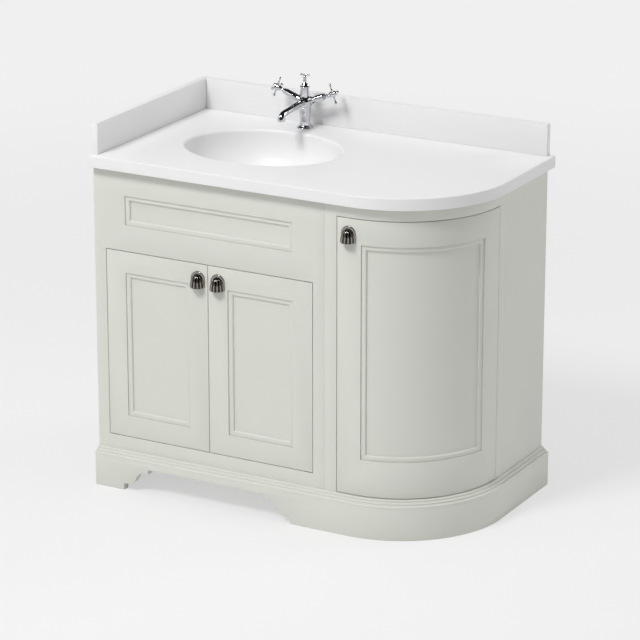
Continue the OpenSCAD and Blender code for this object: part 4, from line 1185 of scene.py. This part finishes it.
@dataclass
class Pull:
    """A fluted cup pull: half a bell on a backplate, with ribs around it.

    The ribs are rib_wide as wide as the bell at each height, and stand rib_proud of it further
    out. The bell's walls have so many rows of points; rows_to_top of them would end in one point.
    """

    name: str
    body: str
    x: float
    mouth: float
    radius: float = 17.2
    high: float = 34.0
    out: float = 2.5
    wall: float = 1.8
    plate_r: float = 20.2
    plate_shoulder: float = 19.8
    plate_thick: float = 2.0
    rib_wide: float = 0.12
    rib_proud: float = 0.1
    rib_share: float = 0.84
    ribs: int = 7
    rows: int = 15
    rows_to_top: float = 14.4
    screw_up: float = 21.08
    screw_long: float = 20.0

    def build(self) -> None:
        """Make the bell with its plate and screw, and grow the ribs on it."""
        bell = Skin(Matrix.Translation((self.x, 0.0, self.mouth)))
        self.shell(bell)
        bell.slot = 1
        self.plate(bell)
        self.screw(bell)
        # The bell's near-black metal is a painted dark reflection; its plate and the ribs grown below carry a
        # painted warm reflection and painted highlight stripes.
        bell.piece(f"{self.name}_bell", self.body, [PULL_PAINTED_DARK_REFLECTION, PULL_PAINTED_REFLECTION], self.name, smooth_deg=50)
        step = math.radians(180 / (self.ribs - 1))
        grow(f"{self.name}_ribs", self.body, self.rib().seed(f"{self.name}_rib"), ring_tree(), {
            "Count": self.ribs, "First": -step * (self.ribs - 1) / 2, "Step": step,
            "Turn": (0.0, 0.0, 0.0), "Place": placed(self.x, -self.out, self.mouth),
        }, PULL_PAINTED_REFLECTION, smooth_deg=60)

    def bell_radius(self, z: float, shrink: float = 0.0) -> float:
        """Radius of the bell's outline at a height above its mouth."""
        share = min(1.0, z / (self.high - shrink))
        return (self.radius - shrink) * math.sqrt(max(0.0, 1 - share ** 2.2))

    def shell(self, skin: Skin) -> None:
        """Outer and inner wall of the half bell, joined at the mouth and at the back.

        The last row stops just short of the top, so that it can be filled.

        Args:
            skin: the skin that gets the walls.
        """
        layers: list[list[list[int]]] = []
        for shrink in (0.0, self.wall):
            loops = []
            for i in range(self.rows):
                z = (self.high - shrink) * math.sin(QUARTER * i / self.rows_to_top)
                r = self.bell_radius(z, shrink)
                half = [(-r * math.cos(a), -self.out - r * math.sin(a), z) for a in spread(0.0, math.pi, 32)]
                loops.append(skin.loop([(-r, 0.0, z)] + half + [(r, 0.0, z)]))
            skin.loft(loops, closed=False)
            skin.face(*loops[-1])
            layers.append(loops)
        outer, inner = layers
        skin.bridge(outer[0], inner[0], closed=False)
        for end in (0, -1):
            skin.loft([[a[end], b[end]] for a, b in zip(outer, inner)], closed=False)
        skin.face(outer[-1][0], outer[-1][-1], inner[-1][-1], inner[-1][0])

    def plate(self, skin: Skin) -> None:
        """Arched backplate with a rounded front edge.

        Args:
            skin: the skin that gets the plate.
        """
        rings = []
        for inward, y in ((0.0, 0.0), (0.0, 1.4 - self.plate_thick), (0.3, 0.75 - self.plate_thick),
                          (0.8, 0.25 - self.plate_thick), (1.6, -self.plate_thick)):
            r = self.plate_r - inward
            arch = [(r * math.cos(a), y, self.plate_shoulder + r * math.sin(a))
                    for a in spread(0.0, math.pi, 32)]
            rings.append(skin.loop([(r, y, inward)] + arch + [(-r, y, inward)]))
        skin.solid(rings)

    def screw(self, skin: Skin) -> None:
        """Screw through the door, with its pan head inside.

        Args:
            skin: the skin that gets the screw.
        """
        head = self.screw_long
        profile = ((2.0, 0.0), (2.0, head), (4.2, head), (4.2, head + 1.2), (3.4, head + 2.1),
                   (1.2, head + 2.4))
        skin.solid([
            skin.loop([(r * math.cos(a), y, self.screw_up + r * math.sin(a)) for a in around(20)])
            for r, y in profile
        ])

    def rib(self) -> Skin:
        """Build one rib up the front of the bell, as wide as its share of it, with a round top.

        Returns:
            The rib around the bell's axis.
        """
        skin = Skin()
        rings = []
        for share in spread(0.0, 1.0, 24):
            z = self.high * self.rib_share * math.sin(QUARTER * share)
            bell = self.bell_radius(z)
            r = max(0.1, self.rib_wide * bell * math.sqrt(max(0.0, 1 - share ** 12)))
            y = -bell * (1 + self.rib_proud) + r
            rings.append(skin.loop([(r * math.cos(a), y + r * math.sin(a), z) for a in around(20)]))
        skin.solid(rings)
        return skin


@dataclass
class CastTop:
    """The cast worktop with its bowl, in one seamless piece, and its two upstands.

    The smaller belly_out and belly_down are, the fuller is the section of the bowl.
    """

    wide: float = 1000.0
    top: float = 860.0
    thick: float = 30.0
    over: float = 20.0
    back_y: float = 530.0
    edge_r: float = 3.0
    low_arris: float = 1.0
    bowl_x: float = 335.0
    bowl_y: float = 255.0
    bowl_a: float = 211.0
    bowl_b: float = 166.0
    rim_r: float = 8.0
    bowl_deep: float = 130.0
    flat_r: float = 42.0
    belly_out: float = 0.85
    belly_down: float = 0.95
    wall: float = 9.0
    waste_r: float = 32.4
    waste_deep: float = 3.0
    tail_r: float = 19.5
    tap_y: float = 466.0
    tap_r: float = 17.5
    upstand_high: float = 80.0
    upstand_thick: float = 18.0
    upstand_in: float = 15.0
    upstand_arris: float = 1.2
    steps: int = 128

    def build(self) -> None:
        """Make the worktop with its bowl, and the upstands."""
        self.worktop()
        self.upstands()

    def oval(self, radius: float, z: float) -> list[Vector]:
        """Give points of the bowl's oval.

        Args:
            radius: half of the oval's length.
            z: its height.

        Returns:
            The points around it.
        """
        ratio = self.bowl_b / self.bowl_a
        return [Vector((self.bowl_x + radius * math.cos(a), self.bowl_y + radius * ratio * math.sin(a), z))
                for a in around(self.steps)]

    def circle(self, y: float, r: float, z: float) -> list[Vector]:
        """Give points of a circle on the bowl's middle line, as many as the oval has."""
        return [Vector((self.bowl_x + r * math.cos(a), y + r * math.sin(a), z)) for a in around(self.steps)]

    def edge(self, inward: float, z: float) -> list[Vector]:
        """Give the worktop's outline at this distance inside its edge.

        Args:
            inward: the distance.
            z: the outline's height.

        Returns:
            The points around it.
        """
        end = FACE.side(self.back_y) - FACE.corner_r
        front = [FACE.at(a, inward - self.over, z) for a in FACE.cuts(0.0, end, 6.0)]
        return front + [Vector((0.0, self.back_y, z))]

    def bowl_curve(self, r_top: float, z_top: float, z_low: float) -> Outline:
        """Give the section of the bowl's wall, from the rim down to the flat floor.

        Args:
            r_top: the oval's radius at the rim.
            z_top: height of the rim.
            z_low: height of the floor.

        Returns:
            Radius and height of each ring.
        """
        return [(self.flat_r + (r_top - self.flat_r) * max(0.0, math.cos(a)) ** self.belly_out,
                 z_top - (z_top - z_low) * math.sin(a) ** self.belly_down) for a in spread(0.0, QUARTER, 22)]

    def worktop(self) -> None:
        """Top face, rolled rim, bowl and underside as one closed skin."""
        skin = Skin()
        r, low = self.edge_r, self.top - self.thick
        outside = [skin.loop(self.edge(r * (1 - math.sin(a)), self.top - r * (1 - math.cos(a))))
                   for a in spread(0.0, QUARTER, 5)]
        outside.append(skin.loop(self.edge(0.0, low + self.low_arris)))
        outside.append(skin.loop(self.edge(self.low_arris, low)))
        skin.loft(outside)
        rim = [(self.bowl_a - self.rim_r * math.sin(a), self.top - self.rim_r * (1 - math.cos(a)))
               for a in spread(0.0, QUARTER, 7)]
        floor, rim_in = self.top - self.bowl_deep, self.bowl_a - self.rim_r
        inner = rim + self.bowl_curve(rim_in, self.top - self.rim_r, floor)[1:]
        outer = self.bowl_curve(rim_in + self.wall, low, floor - self.wall)
        seat = floor - self.waste_deep
        hole = ((self.waste_r, floor), (self.waste_r, seat), (self.tail_r, seat),
                (self.tail_r, floor - self.wall))
        walls = [skin.loop(self.oval(radius, z)) for radius, z in inner]
        walls += [skin.loop(self.circle(self.bowl_y, radius, z)) for radius, z in hole]
        walls += [skin.loop(self.oval(radius, z)) for radius, z in reversed(outer)]
        skin.loft(walls)
        tap = [skin.loop(self.circle(self.tap_y, self.tap_r, z)) for z in (self.top, low)]
        skin.loft(tap)
        self.flat(skin, [outside[0], walls[0], tap[0]])
        self.flat(skin, [outside[-1], walls[-1], tap[1]])
        skin.piece("cast_worktop_with_bowl", CABINET, [CAST_MARBLE], "worktop", "basin_bowl", smooth_deg=30)

    def flat(self, skin: Skin, loops: Sequence[Sequence[int]]) -> None:
        """Fill a flat face between its outline and its holes.

        Args:
            skin: the skin that gets the triangles.
            loops: the outline first, then each hole.
        """
        work = bmesh.new()
        numbers: dict[bmesh.types.BMVert, int] = {}
        for loop in loops:
            verts = []
            for number in loop:
                vert = work.verts.new(skin.corners[number])
                numbers[vert] = number
                verts.append(vert)
            for one, two in zip(verts, verts[1:] + verts[:1]):
                work.edges.new((one, two))
        filled = bmesh.ops.triangle_fill(work, edges=work.edges, use_beauty=True, use_dissolve=False)
        for item in filled["geom"]:
            if isinstance(item, bmesh.types.BMFace):
                skin.face(*[numbers[v] for v in item.verts])
        work.free()

    def upstands(self) -> None:
        """Back and left upstand, bonded to the worktop."""
        t, back = self.upstand_thick, self.back_y
        boxes = {
            "back": (t, back - t, self.wide - self.upstand_in, back),
            "left": (0.0, self.upstand_in - self.over, t, back),
        }
        for side, (x0, y0, x1, y1) in boxes.items():
            skin = Skin()
            skin.solid([skin.loop([(x0, y0, z), (x1, y0, z), (x1, y1, z), (x0, y1, z)])
                        for z in (self.top, self.top + self.upstand_high)])
            skin.piece(
                f"{side}_upstand", CABINET, [CAST_MARBLE], f"upstand_{side}", bevel_mm=self.upstand_arris,
            )


@dataclass
class Tap:
    """Single-post basin tap with a drooping spout and two cross handles.

    Heights are above its foot. The round body's middle is at mid, and a cross is cross_at from
    there along its spindle. The spout starts root inside the body, and as much above its middle.
    """

    x: float = 335.0
    y: float = 466.0
    z: float = 860.0
    mid: float = 66.0
    foot_r: float = 21.0
    ball_r: float = 19.0
    top: float = 124.0
    tilt: float = 21.0
    reach: float = 120.0
    neck_r: float = 12.2
    shank_r: float = 17.0
    shank_low: float = -62.0
    root: float = 3.0
    bend: float = 12.0
    fall: float = 5.0
    lip: float = 5.0
    cross_at: float = 86.0
    arm: float = 24.0
    arm_ball: float = 3.75
    knob_ball: float = 5.4
    knob_at: float = 131.0
    bar_ball: float = 2.8
    bar_at: float = 137.0
    bar_half: float = 11.0

    def build(self) -> None:
        """Make the body, the spout, both bonnets and handles, and the pop-up knob."""
        self.body()
        self.spout()
        self.bonnets()
        for side, name in ((-1, "hot_handle"), (1, "cold_handle")):
            self.handle(side, name)
        self.knob()

    def base(self) -> Matrix:
        """Frame of the tap's foot, in the shop drawing."""
        return Matrix.Translation((self.x, self.y, self.z))

    def arm_frame(self, side: int) -> Matrix:
        """Frame of a handle's axis, which leaves the middle of the body."""
        turn = Matrix.Rotation(math.radians(side * (90 - self.tilt)), 4, "Y")
        return self.base() @ Matrix.Translation((0, 0, self.mid)) @ turn

    def body(self) -> None:
        """Foot, pedestal, round body and column, turned in one piece."""
        skin = Skin(self.base())
        foot = [(0.0, 0.0), (20.6, 0.0), (self.foot_r, 0.5), (self.foot_r, 2.4), (20.4, 3.2)]
        foot += smooth_line([(19.4, 4.4), (16.6, 5.6), (14.9, 7.2), (14.0, 10.0), (12.7, 20.0), (13.0, 30.0),
                             (13.9, 36.0)])
        foot += [(14.4, 40.0), (15.2, 44.0)]
        angle = math.degrees(math.asin(self.neck_r / self.ball_r))
        ball = arc_points((0.0, self.mid), self.ball_r, -90 + angle + 12, 90 - angle, 20)
        column = smooth_line([(13.0, 83.0), (12.2, 88.0), (11.3, 96.0), (11.0, 102.0), (11.8, 105.4)])
        cap = arc_points((11.6, 107.4), 1.7, -80, 80, 7)
        cap += smooth_line([(10.6, 109.6), (9.4, 112.6), (6.6, 116.6), (5.2, 119.4), (5.0, 123.4)])
        skin.lathe(foot + ball + column + cap + [(4.4, self.top), (0.0, self.top)], 64)
        # The shank ends just inside the foot, so that the two don't share a plane.
        low, inside = self.shank_low, 0.3
        skin.lathe([(0.0, low), (self.shank_r, low), (self.shank_r, inside), (0.0, inside)])
        skin.piece("tap_pedestal_and_column", CABINET, [CHROME], "tap_body", smooth_deg=40)

    def spout(self) -> None:
        """Spout that leaves the body, falls a little towards its bend, and ends in a bulb."""
        skin = Skin(self.base())
        fall = math.radians(self.fall)
        reach = self.reach - self.bend * (1 - math.sin(fall))
        root, root_z = self.ball_r - self.root, self.mid + self.root
        rings = []
        for share, radius in ((-0.06, 9.6), (0.04, 9.1), (0.12, 8.7), (0.5, 8.4), (1.0, 8.1)):
            out = root + (reach - root) * share
            rings.append(self.spout_ring(skin, -out, root_z - (out - root) * math.tan(fall), fall, radius))
        centre_y = self.bend - self.reach
        centre_z = root_z - (reach - root) * math.tan(fall) - self.bend * math.cos(fall)
        for i, turn in list(enumerate(spread(fall, QUARTER, 8)))[1:]:
            rings.append(self.spout_ring(
                skin, centre_y - self.bend * math.sin(turn), centre_z + self.bend * math.cos(turn), turn,
                8.1 + 1.5 * (i / 8) ** 2,
            ))
        low = centre_z - self.lip
        for z, radius in ((centre_z - 1.2, 9.9), (centre_z - 2.6, 9.7), (low + 0.9, 9.2), (low + 0.2, 8.9),
                          (low, 8.5), (low, 6.6), (low + 9, 6.4)):
            rings.append(self.spout_ring(skin, -self.reach, z, QUARTER, radius))
        skin.solid(rings)
        skin.piece("tap_swan_spout", CABINET, [CHROME], "tap_spout", smooth_deg=45)

    def spout_ring(self, skin: Skin, y: float, z: float, turn: float, radius: float) -> list[int]:
        """Add a ring of the spout around its own line.

        Args:
            skin: the skin that gets the ring.
            y: place along the reach, negative towards the front.
            z: height above the tap's foot.
            turn: how far the line has turned down, in radians.
            radius: the ring's radius.

        Returns:
            The numbers of its points.
        """
        up = Vector((0.0, -math.sin(turn), math.cos(turn)))
        across = Vector((1.0, 0.0, 0.0))
        centre = Vector((0.0, y, z))
        return skin.loop([centre + (across * math.cos(a) + up * math.sin(a)) * radius for a in around(36)])

    def bonnets(self) -> None:
        """Both bonnets: a collar at the body, a plain barrel and a hexagon."""
        profile = [(0.0, 13.0), (10.2, 13.0), (10.2, 20.4)]
        profile += arc_points((9.7, 21.0), 0.9, -40, 80, 5)
        profile += [(9.0, 22.4), (9.0, 34.0), (9.35, 34.6), (9.35, 36.4), (9.0, 37.0), (9.0, 56.6),
                    (8.4, 57.6), (0.0, 57.6)]
        skin = Skin()
        for side in (-1, 1):
            skin.turn = self.arm_frame(side)
            skin.lathe(profile)
            skin.lathe([(7.4, 57.6), (7.5, 58.2), (7.5, 63.2), (6.9, 64.0)], 6)
        skin.piece("tap_valve_bonnets", CABINET, [CHROME], "tap_bonnets", smooth_deg=32)

    def handle(self, side: int, name: str) -> None:
        """Make a cross handle: a turned hub on its spindle, and four arms grown around it.

        Args:
            side: -1 for the left handle, 1 for the right one.
            name: the CAD node, which is the body's name too.
        """
        skin = Skin(self.arm_frame(side))
        at = self.cross_at
        profile = [(0.0, 42.0), (3.5, 42.0), (3.5, 65.8), (4.4, 66.0)]
        profile += smooth_line([(4.5, 67.0), (4.2, 70.0), (4.6, 73.0), (6.2, 76.4), (7.2, 78.6)])
        profile += arc_points((6.6, at - 5.6), 1.2, -60, 60, 5)
        profile += [(7.0, at - 3.6), (7.3, at), (7.0, at + 3.6)]
        profile += arc_points((6.4, at + 5.4), 1.1, -60, 80, 5)
        profile += smooth_line([(6.3, at + 7.0), (5.6, at + 9.0), (4.0, at + 10.9), (1.8, at + 11.8),
                                (0.0, at + 12.0)])
        skin.lathe(profile)
        skin.piece(f"{name}_hub", name, [CHROME], name, smooth_deg=40)
        frame = skin.turn @ Matrix.Translation((0, 0, at))
        grow(f"{name}_arms", name, self.one_arm().seed(f"{name}_arm"), ring_tree(), {
            "Count": 4, "First": 0.0, "Step": QUARTER, "Turn": tuple(frame.to_euler()),
            "Place": tuple(placed(*frame.to_translation())),
        }, CHROME, smooth_deg=50)

    def one_arm(self) -> Skin:
        """Build one arm of a cross handle, along x, with its ball.

        Returns:
            The arm around the handle's middle.
        """
        neck = self.arm - self.arm_ball
        stem = [(5.0, 2.9), (8.0, 2.6), (10.0, 2.9), (11.2, 2.9), (12.4, 2.3), (neck - 0.6, 1.9), (neck, 2.4)]
        ball = [(self.arm + self.arm_ball * math.sin(a), self.arm_ball * math.cos(a))
                for a in map(math.radians, spread(-58, 90, 14))]
        skin = Skin()
        rings = []
        for out, radius in stem + ball:
            r = max(radius, 0.05)
            rings.append(skin.loop([(out, r * math.cos(a), r * math.sin(a)) for a in around(24)]))
        skin.solid(rings)
        return skin

    def knob(self) -> None:
        """Pop-up knob: a stem with a ball and a bar with two small balls, and the rod below."""
        skin = Skin(self.base())
        skin.lathe([(0.0, self.top), (3.4, self.top), (3.4, 126.4), (2.8, 127.0)], 32)
        skin.lathe(arc_points((0.0, self.knob_at), self.knob_ball, -90, 90, 16), 36)
        skin.lathe([(2.5, 120.0), (2.5, 130.0)], 24)
        skin.turn = self.base() @ Matrix.Translation((0, 0, self.bar_at)) @ Matrix.Rotation(QUARTER, 4, "Y")
        bar = [(0.0, -self.bar_half - self.bar_ball)]
        bar += arc_points((0.0, -self.bar_half), self.bar_ball, -80, 60, 10)
        bar += [(1.9, -8.6), (1.9, -1.8), (2.4, -1.2), (2.4, 0.0)]
        skin.lathe(bar + [(r, -z) for r, z in reversed(bar[:-1])], 28)
        skin.piece("pop_up_knob", "lift_knob", [CHROME], smooth_deg=45)


@dataclass
class PopUpWaste:
    """The domed cap of the plug in the bowl's floor."""

    x: float = 335.0
    y: float = 255.0
    floor: float = 730.0
    low: float = 3.5
    dome_r: float = 18.2
    dome_high: float = 2.7

    def build(self) -> None:
        """Make the cap. The flange and the plug below keep their CAD solids."""
        skin = Skin(Matrix.Translation((self.x, self.y, self.floor)))
        low, r = self.low, self.dome_r
        dome = [(0.0, low), (r, low), (18.6, low + 0.4), (18.6, low + 2.0)]
        dome += [(r * math.cos(a), low + 2.3 + self.dome_high * math.sin(a))
                 for a in [math.radians(8 * i) for i in range(1, 11)]]
        skin.lathe(dome + [(0.0, low + 5.0)], 64)
        skin.piece("plug_dome", "plug", [CHROME])


@dataclass
class Carcass:
    """Panels, shelves and fittings that keep their CAD solids, and the shelf pegs.

    A peg is peg_in deep in its panel and stands peg_out of it. A row of pegs is the inner faces
    of the panels at its left and right, and the two depths of its pegs.
    """

    peg_r: float = 2.5
    peg_z: float = 297.5
    peg_out: float = 8.0
    peg_in: float = 9.0
    rows: tuple[tuple[float, float, float, float], ...] = (
        (18.0, 630.0, 90.0, 472.0), (666.0, 962.0, 328.0, 472.0),
    )

    def build(self, frame: dict[str, Any]) -> None:
        """Give every CAD node its finish, and grow the shelf pegs.
        """
        plain = (PAINT_UP, CAST_MARBLE, CHROME, ZINCED_STEEL, COPPER, POLYPROPYLENE)
        finishes = {finish.slot.value: finish for finish in plain}
        slots = {part["node"]: part["material_slot"] for part in frame["record"]["subparts"]}
        for name, node in frame["nodes"].items():
            node.data.materials.clear()
            node.data.materials.append(finishes[slots[name]].material())
        self.pegs()

    def pegs(self) -> None:
        """Eight shelf pegs, four under each shelf."""
        starts = []
        for left, right, *ys in self.rows:
            for y in ys:
                starts += [placed(x, y, self.peg_z) for x in (left - self.peg_in, right - self.peg_out)]
        grow("shelf_pegs", CABINET, seed_mesh("peg_places", starts), peg_tree(), {
            "Radius": self.peg_r * MM, "Length": (self.peg_out + self.peg_in) * MM,
        }, ZINCED_STEEL, "shelf_pins")


def seen_directly(tree: bpy.types.NodeTree) -> bpy.types.NodeSocket:
    """Tell the camera's, metal's and glass's sight from light that falls on a surface.

    Args:
        tree: the shader tree that asks.

    Returns:
        An output of 1 for camera, glossy and transmission rays, and of 0 for others.
    """
    path = add_node(tree, "ShaderNodeLightPath")
    seen = path.outputs["Is Camera Ray"]
    for other in ("Is Glossy Ray", "Is Transmission Ray"):
        seen = add_node(
            tree, "ShaderNodeMath", {"operation": "MAXIMUM"}, {0: seen, 1: path.outputs[other]},
        ).outputs[0]
    return seen


@dataclass(frozen=True)
class Lamp:
    """A square area light, aimed at the middle of the unit."""

    name: str
    place: tuple[float, float, float]
    size: float
    power: float
    in_metal: bool = True
    aim: tuple[float, float, float] = (0.0, 0.0, 0.5)

    def build(self) -> None:
        """Hang the lamp."""
        light = bpy.data.lights.new(self.name, "AREA")
        light.shape = "SQUARE"
        light.size = self.size
        light.energy = self.power
        lamp = new_object(self.name, light)
        lamp.location = self.place
        lamp.rotation_euler = (Vector(self.aim) - Vector(self.place)).to_track_quat("-Z", "Y").to_euler()
        lamp.visible_glossy = self.in_metal


@dataclass
class Studio:
    """Plain pale floor, soft lights and the camera. Lengths are in metres here.

    The lamps are a key from the front and above, and soft ones from the left, the back right and
    the top. Metal doesn't show the top one, so its upper sides are as dark as the ceiling.
    The floor's glow grows from near to far. The heading back leads away from the camera.
    """

    lamps: tuple[Lamp, ...] = (
        Lamp("key", (-1.3, -4.0, 5.6), 1.6, 226.0),
        Lamp("left", (-4.2, -3.2, 3.4), 2.0, 20.0),
        Lamp("right", (3.6, 3.6, 2.6), 2.0, 51.0),
        Lamp("top", (0.4, -0.2, 4.4), 2.6, 25.0, in_metal=False),
    )
    lens_mm: float = 180.0
    eye: tuple[float, float, float] = (3.644, -6.610, 2.933)
    pitch: float = 18.3
    turn: float = 28.9
    floor_half: float = 30.0
    near: float = 1.2
    far: float = 4.5
    glow_near: float = 0.6
    glow_far: float = 0.94
    room_light: float = 0.36
    back: tuple[float, float, float] = (-0.48, 0.88, 0.0)

    def build(self) -> None:
        """Set up the camera, the floor, the lights and the world."""
        self.camera()
        self.floor()
        for lamp in self.lamps:
            lamp.build()
        self.world()
        bpy.context.scene.view_settings.view_transform = "Standard"

    def camera(self) -> None:
        """Camera at the photograph's viewing angle: a long lens, from the right and above."""
        lens = bpy.data.cameras.new("camera")
        lens.sensor_width = 36.0
        lens.lens = self.lens_mm
        lens.clip_end = 100.0
        camera = new_object("camera", lens)
        camera.location = self.eye
        camera.rotation_euler = (math.radians(90 - self.pitch), 0.0, math.radians(self.turn))
        bpy.context.scene.camera = camera

    def floor(self) -> None:
        """White floor that keeps a soft shadow, and glows more with distance, up to near white."""
        made = bpy.data.materials.new("white_studio_vinyl")
        made.use_nodes = True
        tree = made.node_tree
        tree.nodes.clear()
        place = add_node(tree, "ShaderNodeTexCoord").outputs["Object"]
        noise = add_node(tree, "ShaderNodeTexNoise", {}, {"Vector": place, "Scale": 3.0, "Detail": 2.0})
        tone = add_node(
            tree, "ShaderNodeMix", {"data_type": "RGBA"},
            {0: noise.outputs["Fac"], 6: linear("f4f4f4"), 7: linear("f2f2f2")},
        )
        lit = add_node(tree, "ShaderNodeBsdfDiffuse", {}, {"Color": tone.outputs[2]})
        glow = add_node(tree, "ShaderNodeEmission", {}, {"Color": linear("f3f3f3"), "Strength": 1.0})
        far = add_node(tree, "ShaderNodeVectorMath", {"operation": "LENGTH"}, {0: place}).outputs["Value"]
        glowing = add_node(
            tree, "ShaderNodeMapRange", {"interpolation_type": "SMOOTHSTEP"},
            {"Value": far, "From Min": self.near, "From Max": self.far, "To Min": self.glow_near,
             "To Max": self.glow_far},
        ).outputs["Result"]
        share = add_node(
            tree, "ShaderNodeMath", {"operation": "MULTIPLY"}, {0: seen_directly(tree), 1: glowing},
        ).outputs[0]
        both = add_node(tree, "ShaderNodeMixShader", {}, {0: share, 1: lit.outputs[0], 2: glow.outputs[0]})
        add_node(tree, "ShaderNodeOutputMaterial", {}, {"Surface": both.outputs[0]})
        half = self.floor_half
        square = ((-half, -half), (half, -half), (half, half), (-half, half))
        corners = [Vector((x, y, 0.0)) for x, y in square]
        mesh = seed_mesh("studio_floor", corners, faces=[(0, 1, 2, 3)])
        mesh.materials.append(made)
        new_object("studio_floor", mesh)

    def world(self) -> None:
        """Even grey room light; camera, metal and glass see a white wall behind the object.

        In front, the white ends low, because the room behind the camera is dark, and so is the ceiling.
        """
        world = bpy.data.worlds.new("studio")
        bpy.context.scene.world = world
        world.use_nodes = True
        tree = world.node_tree
        tree.nodes.clear()
        heading = add_node(tree, "ShaderNodeTexCoord").outputs["Generated"]
        behind = add_node(
            tree, "ShaderNodeVectorMath", {"operation": "DOT_PRODUCT"}, {0: heading, 1: self.back},
        ).outputs["Value"]
        height = add_node(tree, "ShaderNodeSeparateXYZ", {}, {0: heading}).outputs["Z"]
        rise = add_node(
            tree, "ShaderNodeMapRange", {"interpolation_type": "SMOOTHSTEP"},
            {"Value": behind, "From Min": -0.2, "From Max": 0.3, "To Min": 0.0, "To Max": 0.23},
        ).outputs["Result"]
        above = add_node(tree, "ShaderNodeMath", {"operation": "SUBTRACT"}, {0: height, 1: rise}).outputs[0]
        white = add_node(
            tree, "ShaderNodeMapRange", {"interpolation_type": "SMOOTHSTEP"},
            {"Value": above, "From Min": 0.1, "From Max": 0.19, "To Min": 1.0, "To Max": 0.02},
        ).outputs["Result"]
        wall = add_node(tree, "ShaderNodeBackground", {}, {"Color": linear("ffffff"), "Strength": white})
        room = add_node(
            tree, "ShaderNodeBackground", {}, {"Color": linear("ffffff"), "Strength": self.room_light},
        )
        both = add_node(
            tree, "ShaderNodeMixShader", {}, {0: seen_directly(tree), 1: room.outputs[0], 2: wall.outputs[0]},
        )
        add_node(tree, "ShaderNodeOutputWorld", {}, {"Surface": both.outputs[0]})


def main() -> None:
    """Load the frame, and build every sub-assembly."""
    logging.basicConfig(level=logging.INFO, format="%(name)s: %(message)s", stream=sys.stdout)
    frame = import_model()
    Studio().build()
    Carcass().build(frame)
    FaceFrame().build()
    Door("left_door", Area(34, 323, 138, 621), Area(88, 269, 192, 567)).build()
    Door("right_door", Area(325, 614, 138, 621), Area(379, 560, 192, 567)).build()
    end = FACE.side(4.0)
    Door("curved_door", Area(682, end, 102, 796), Area(745, end - 63, 194, 734)).build()
    Plinth().build()
    Pull("left_pull", "left_door", 296, 563).build()
    Pull("right_pull", "right_door", 352, 563).build()
    Pull("curved_pull", "curved_door", 712, 738).build()
    CastTop().build()
    PopUpWaste().build()
    Tap().build()


if __name__ == "__main__":
    main()
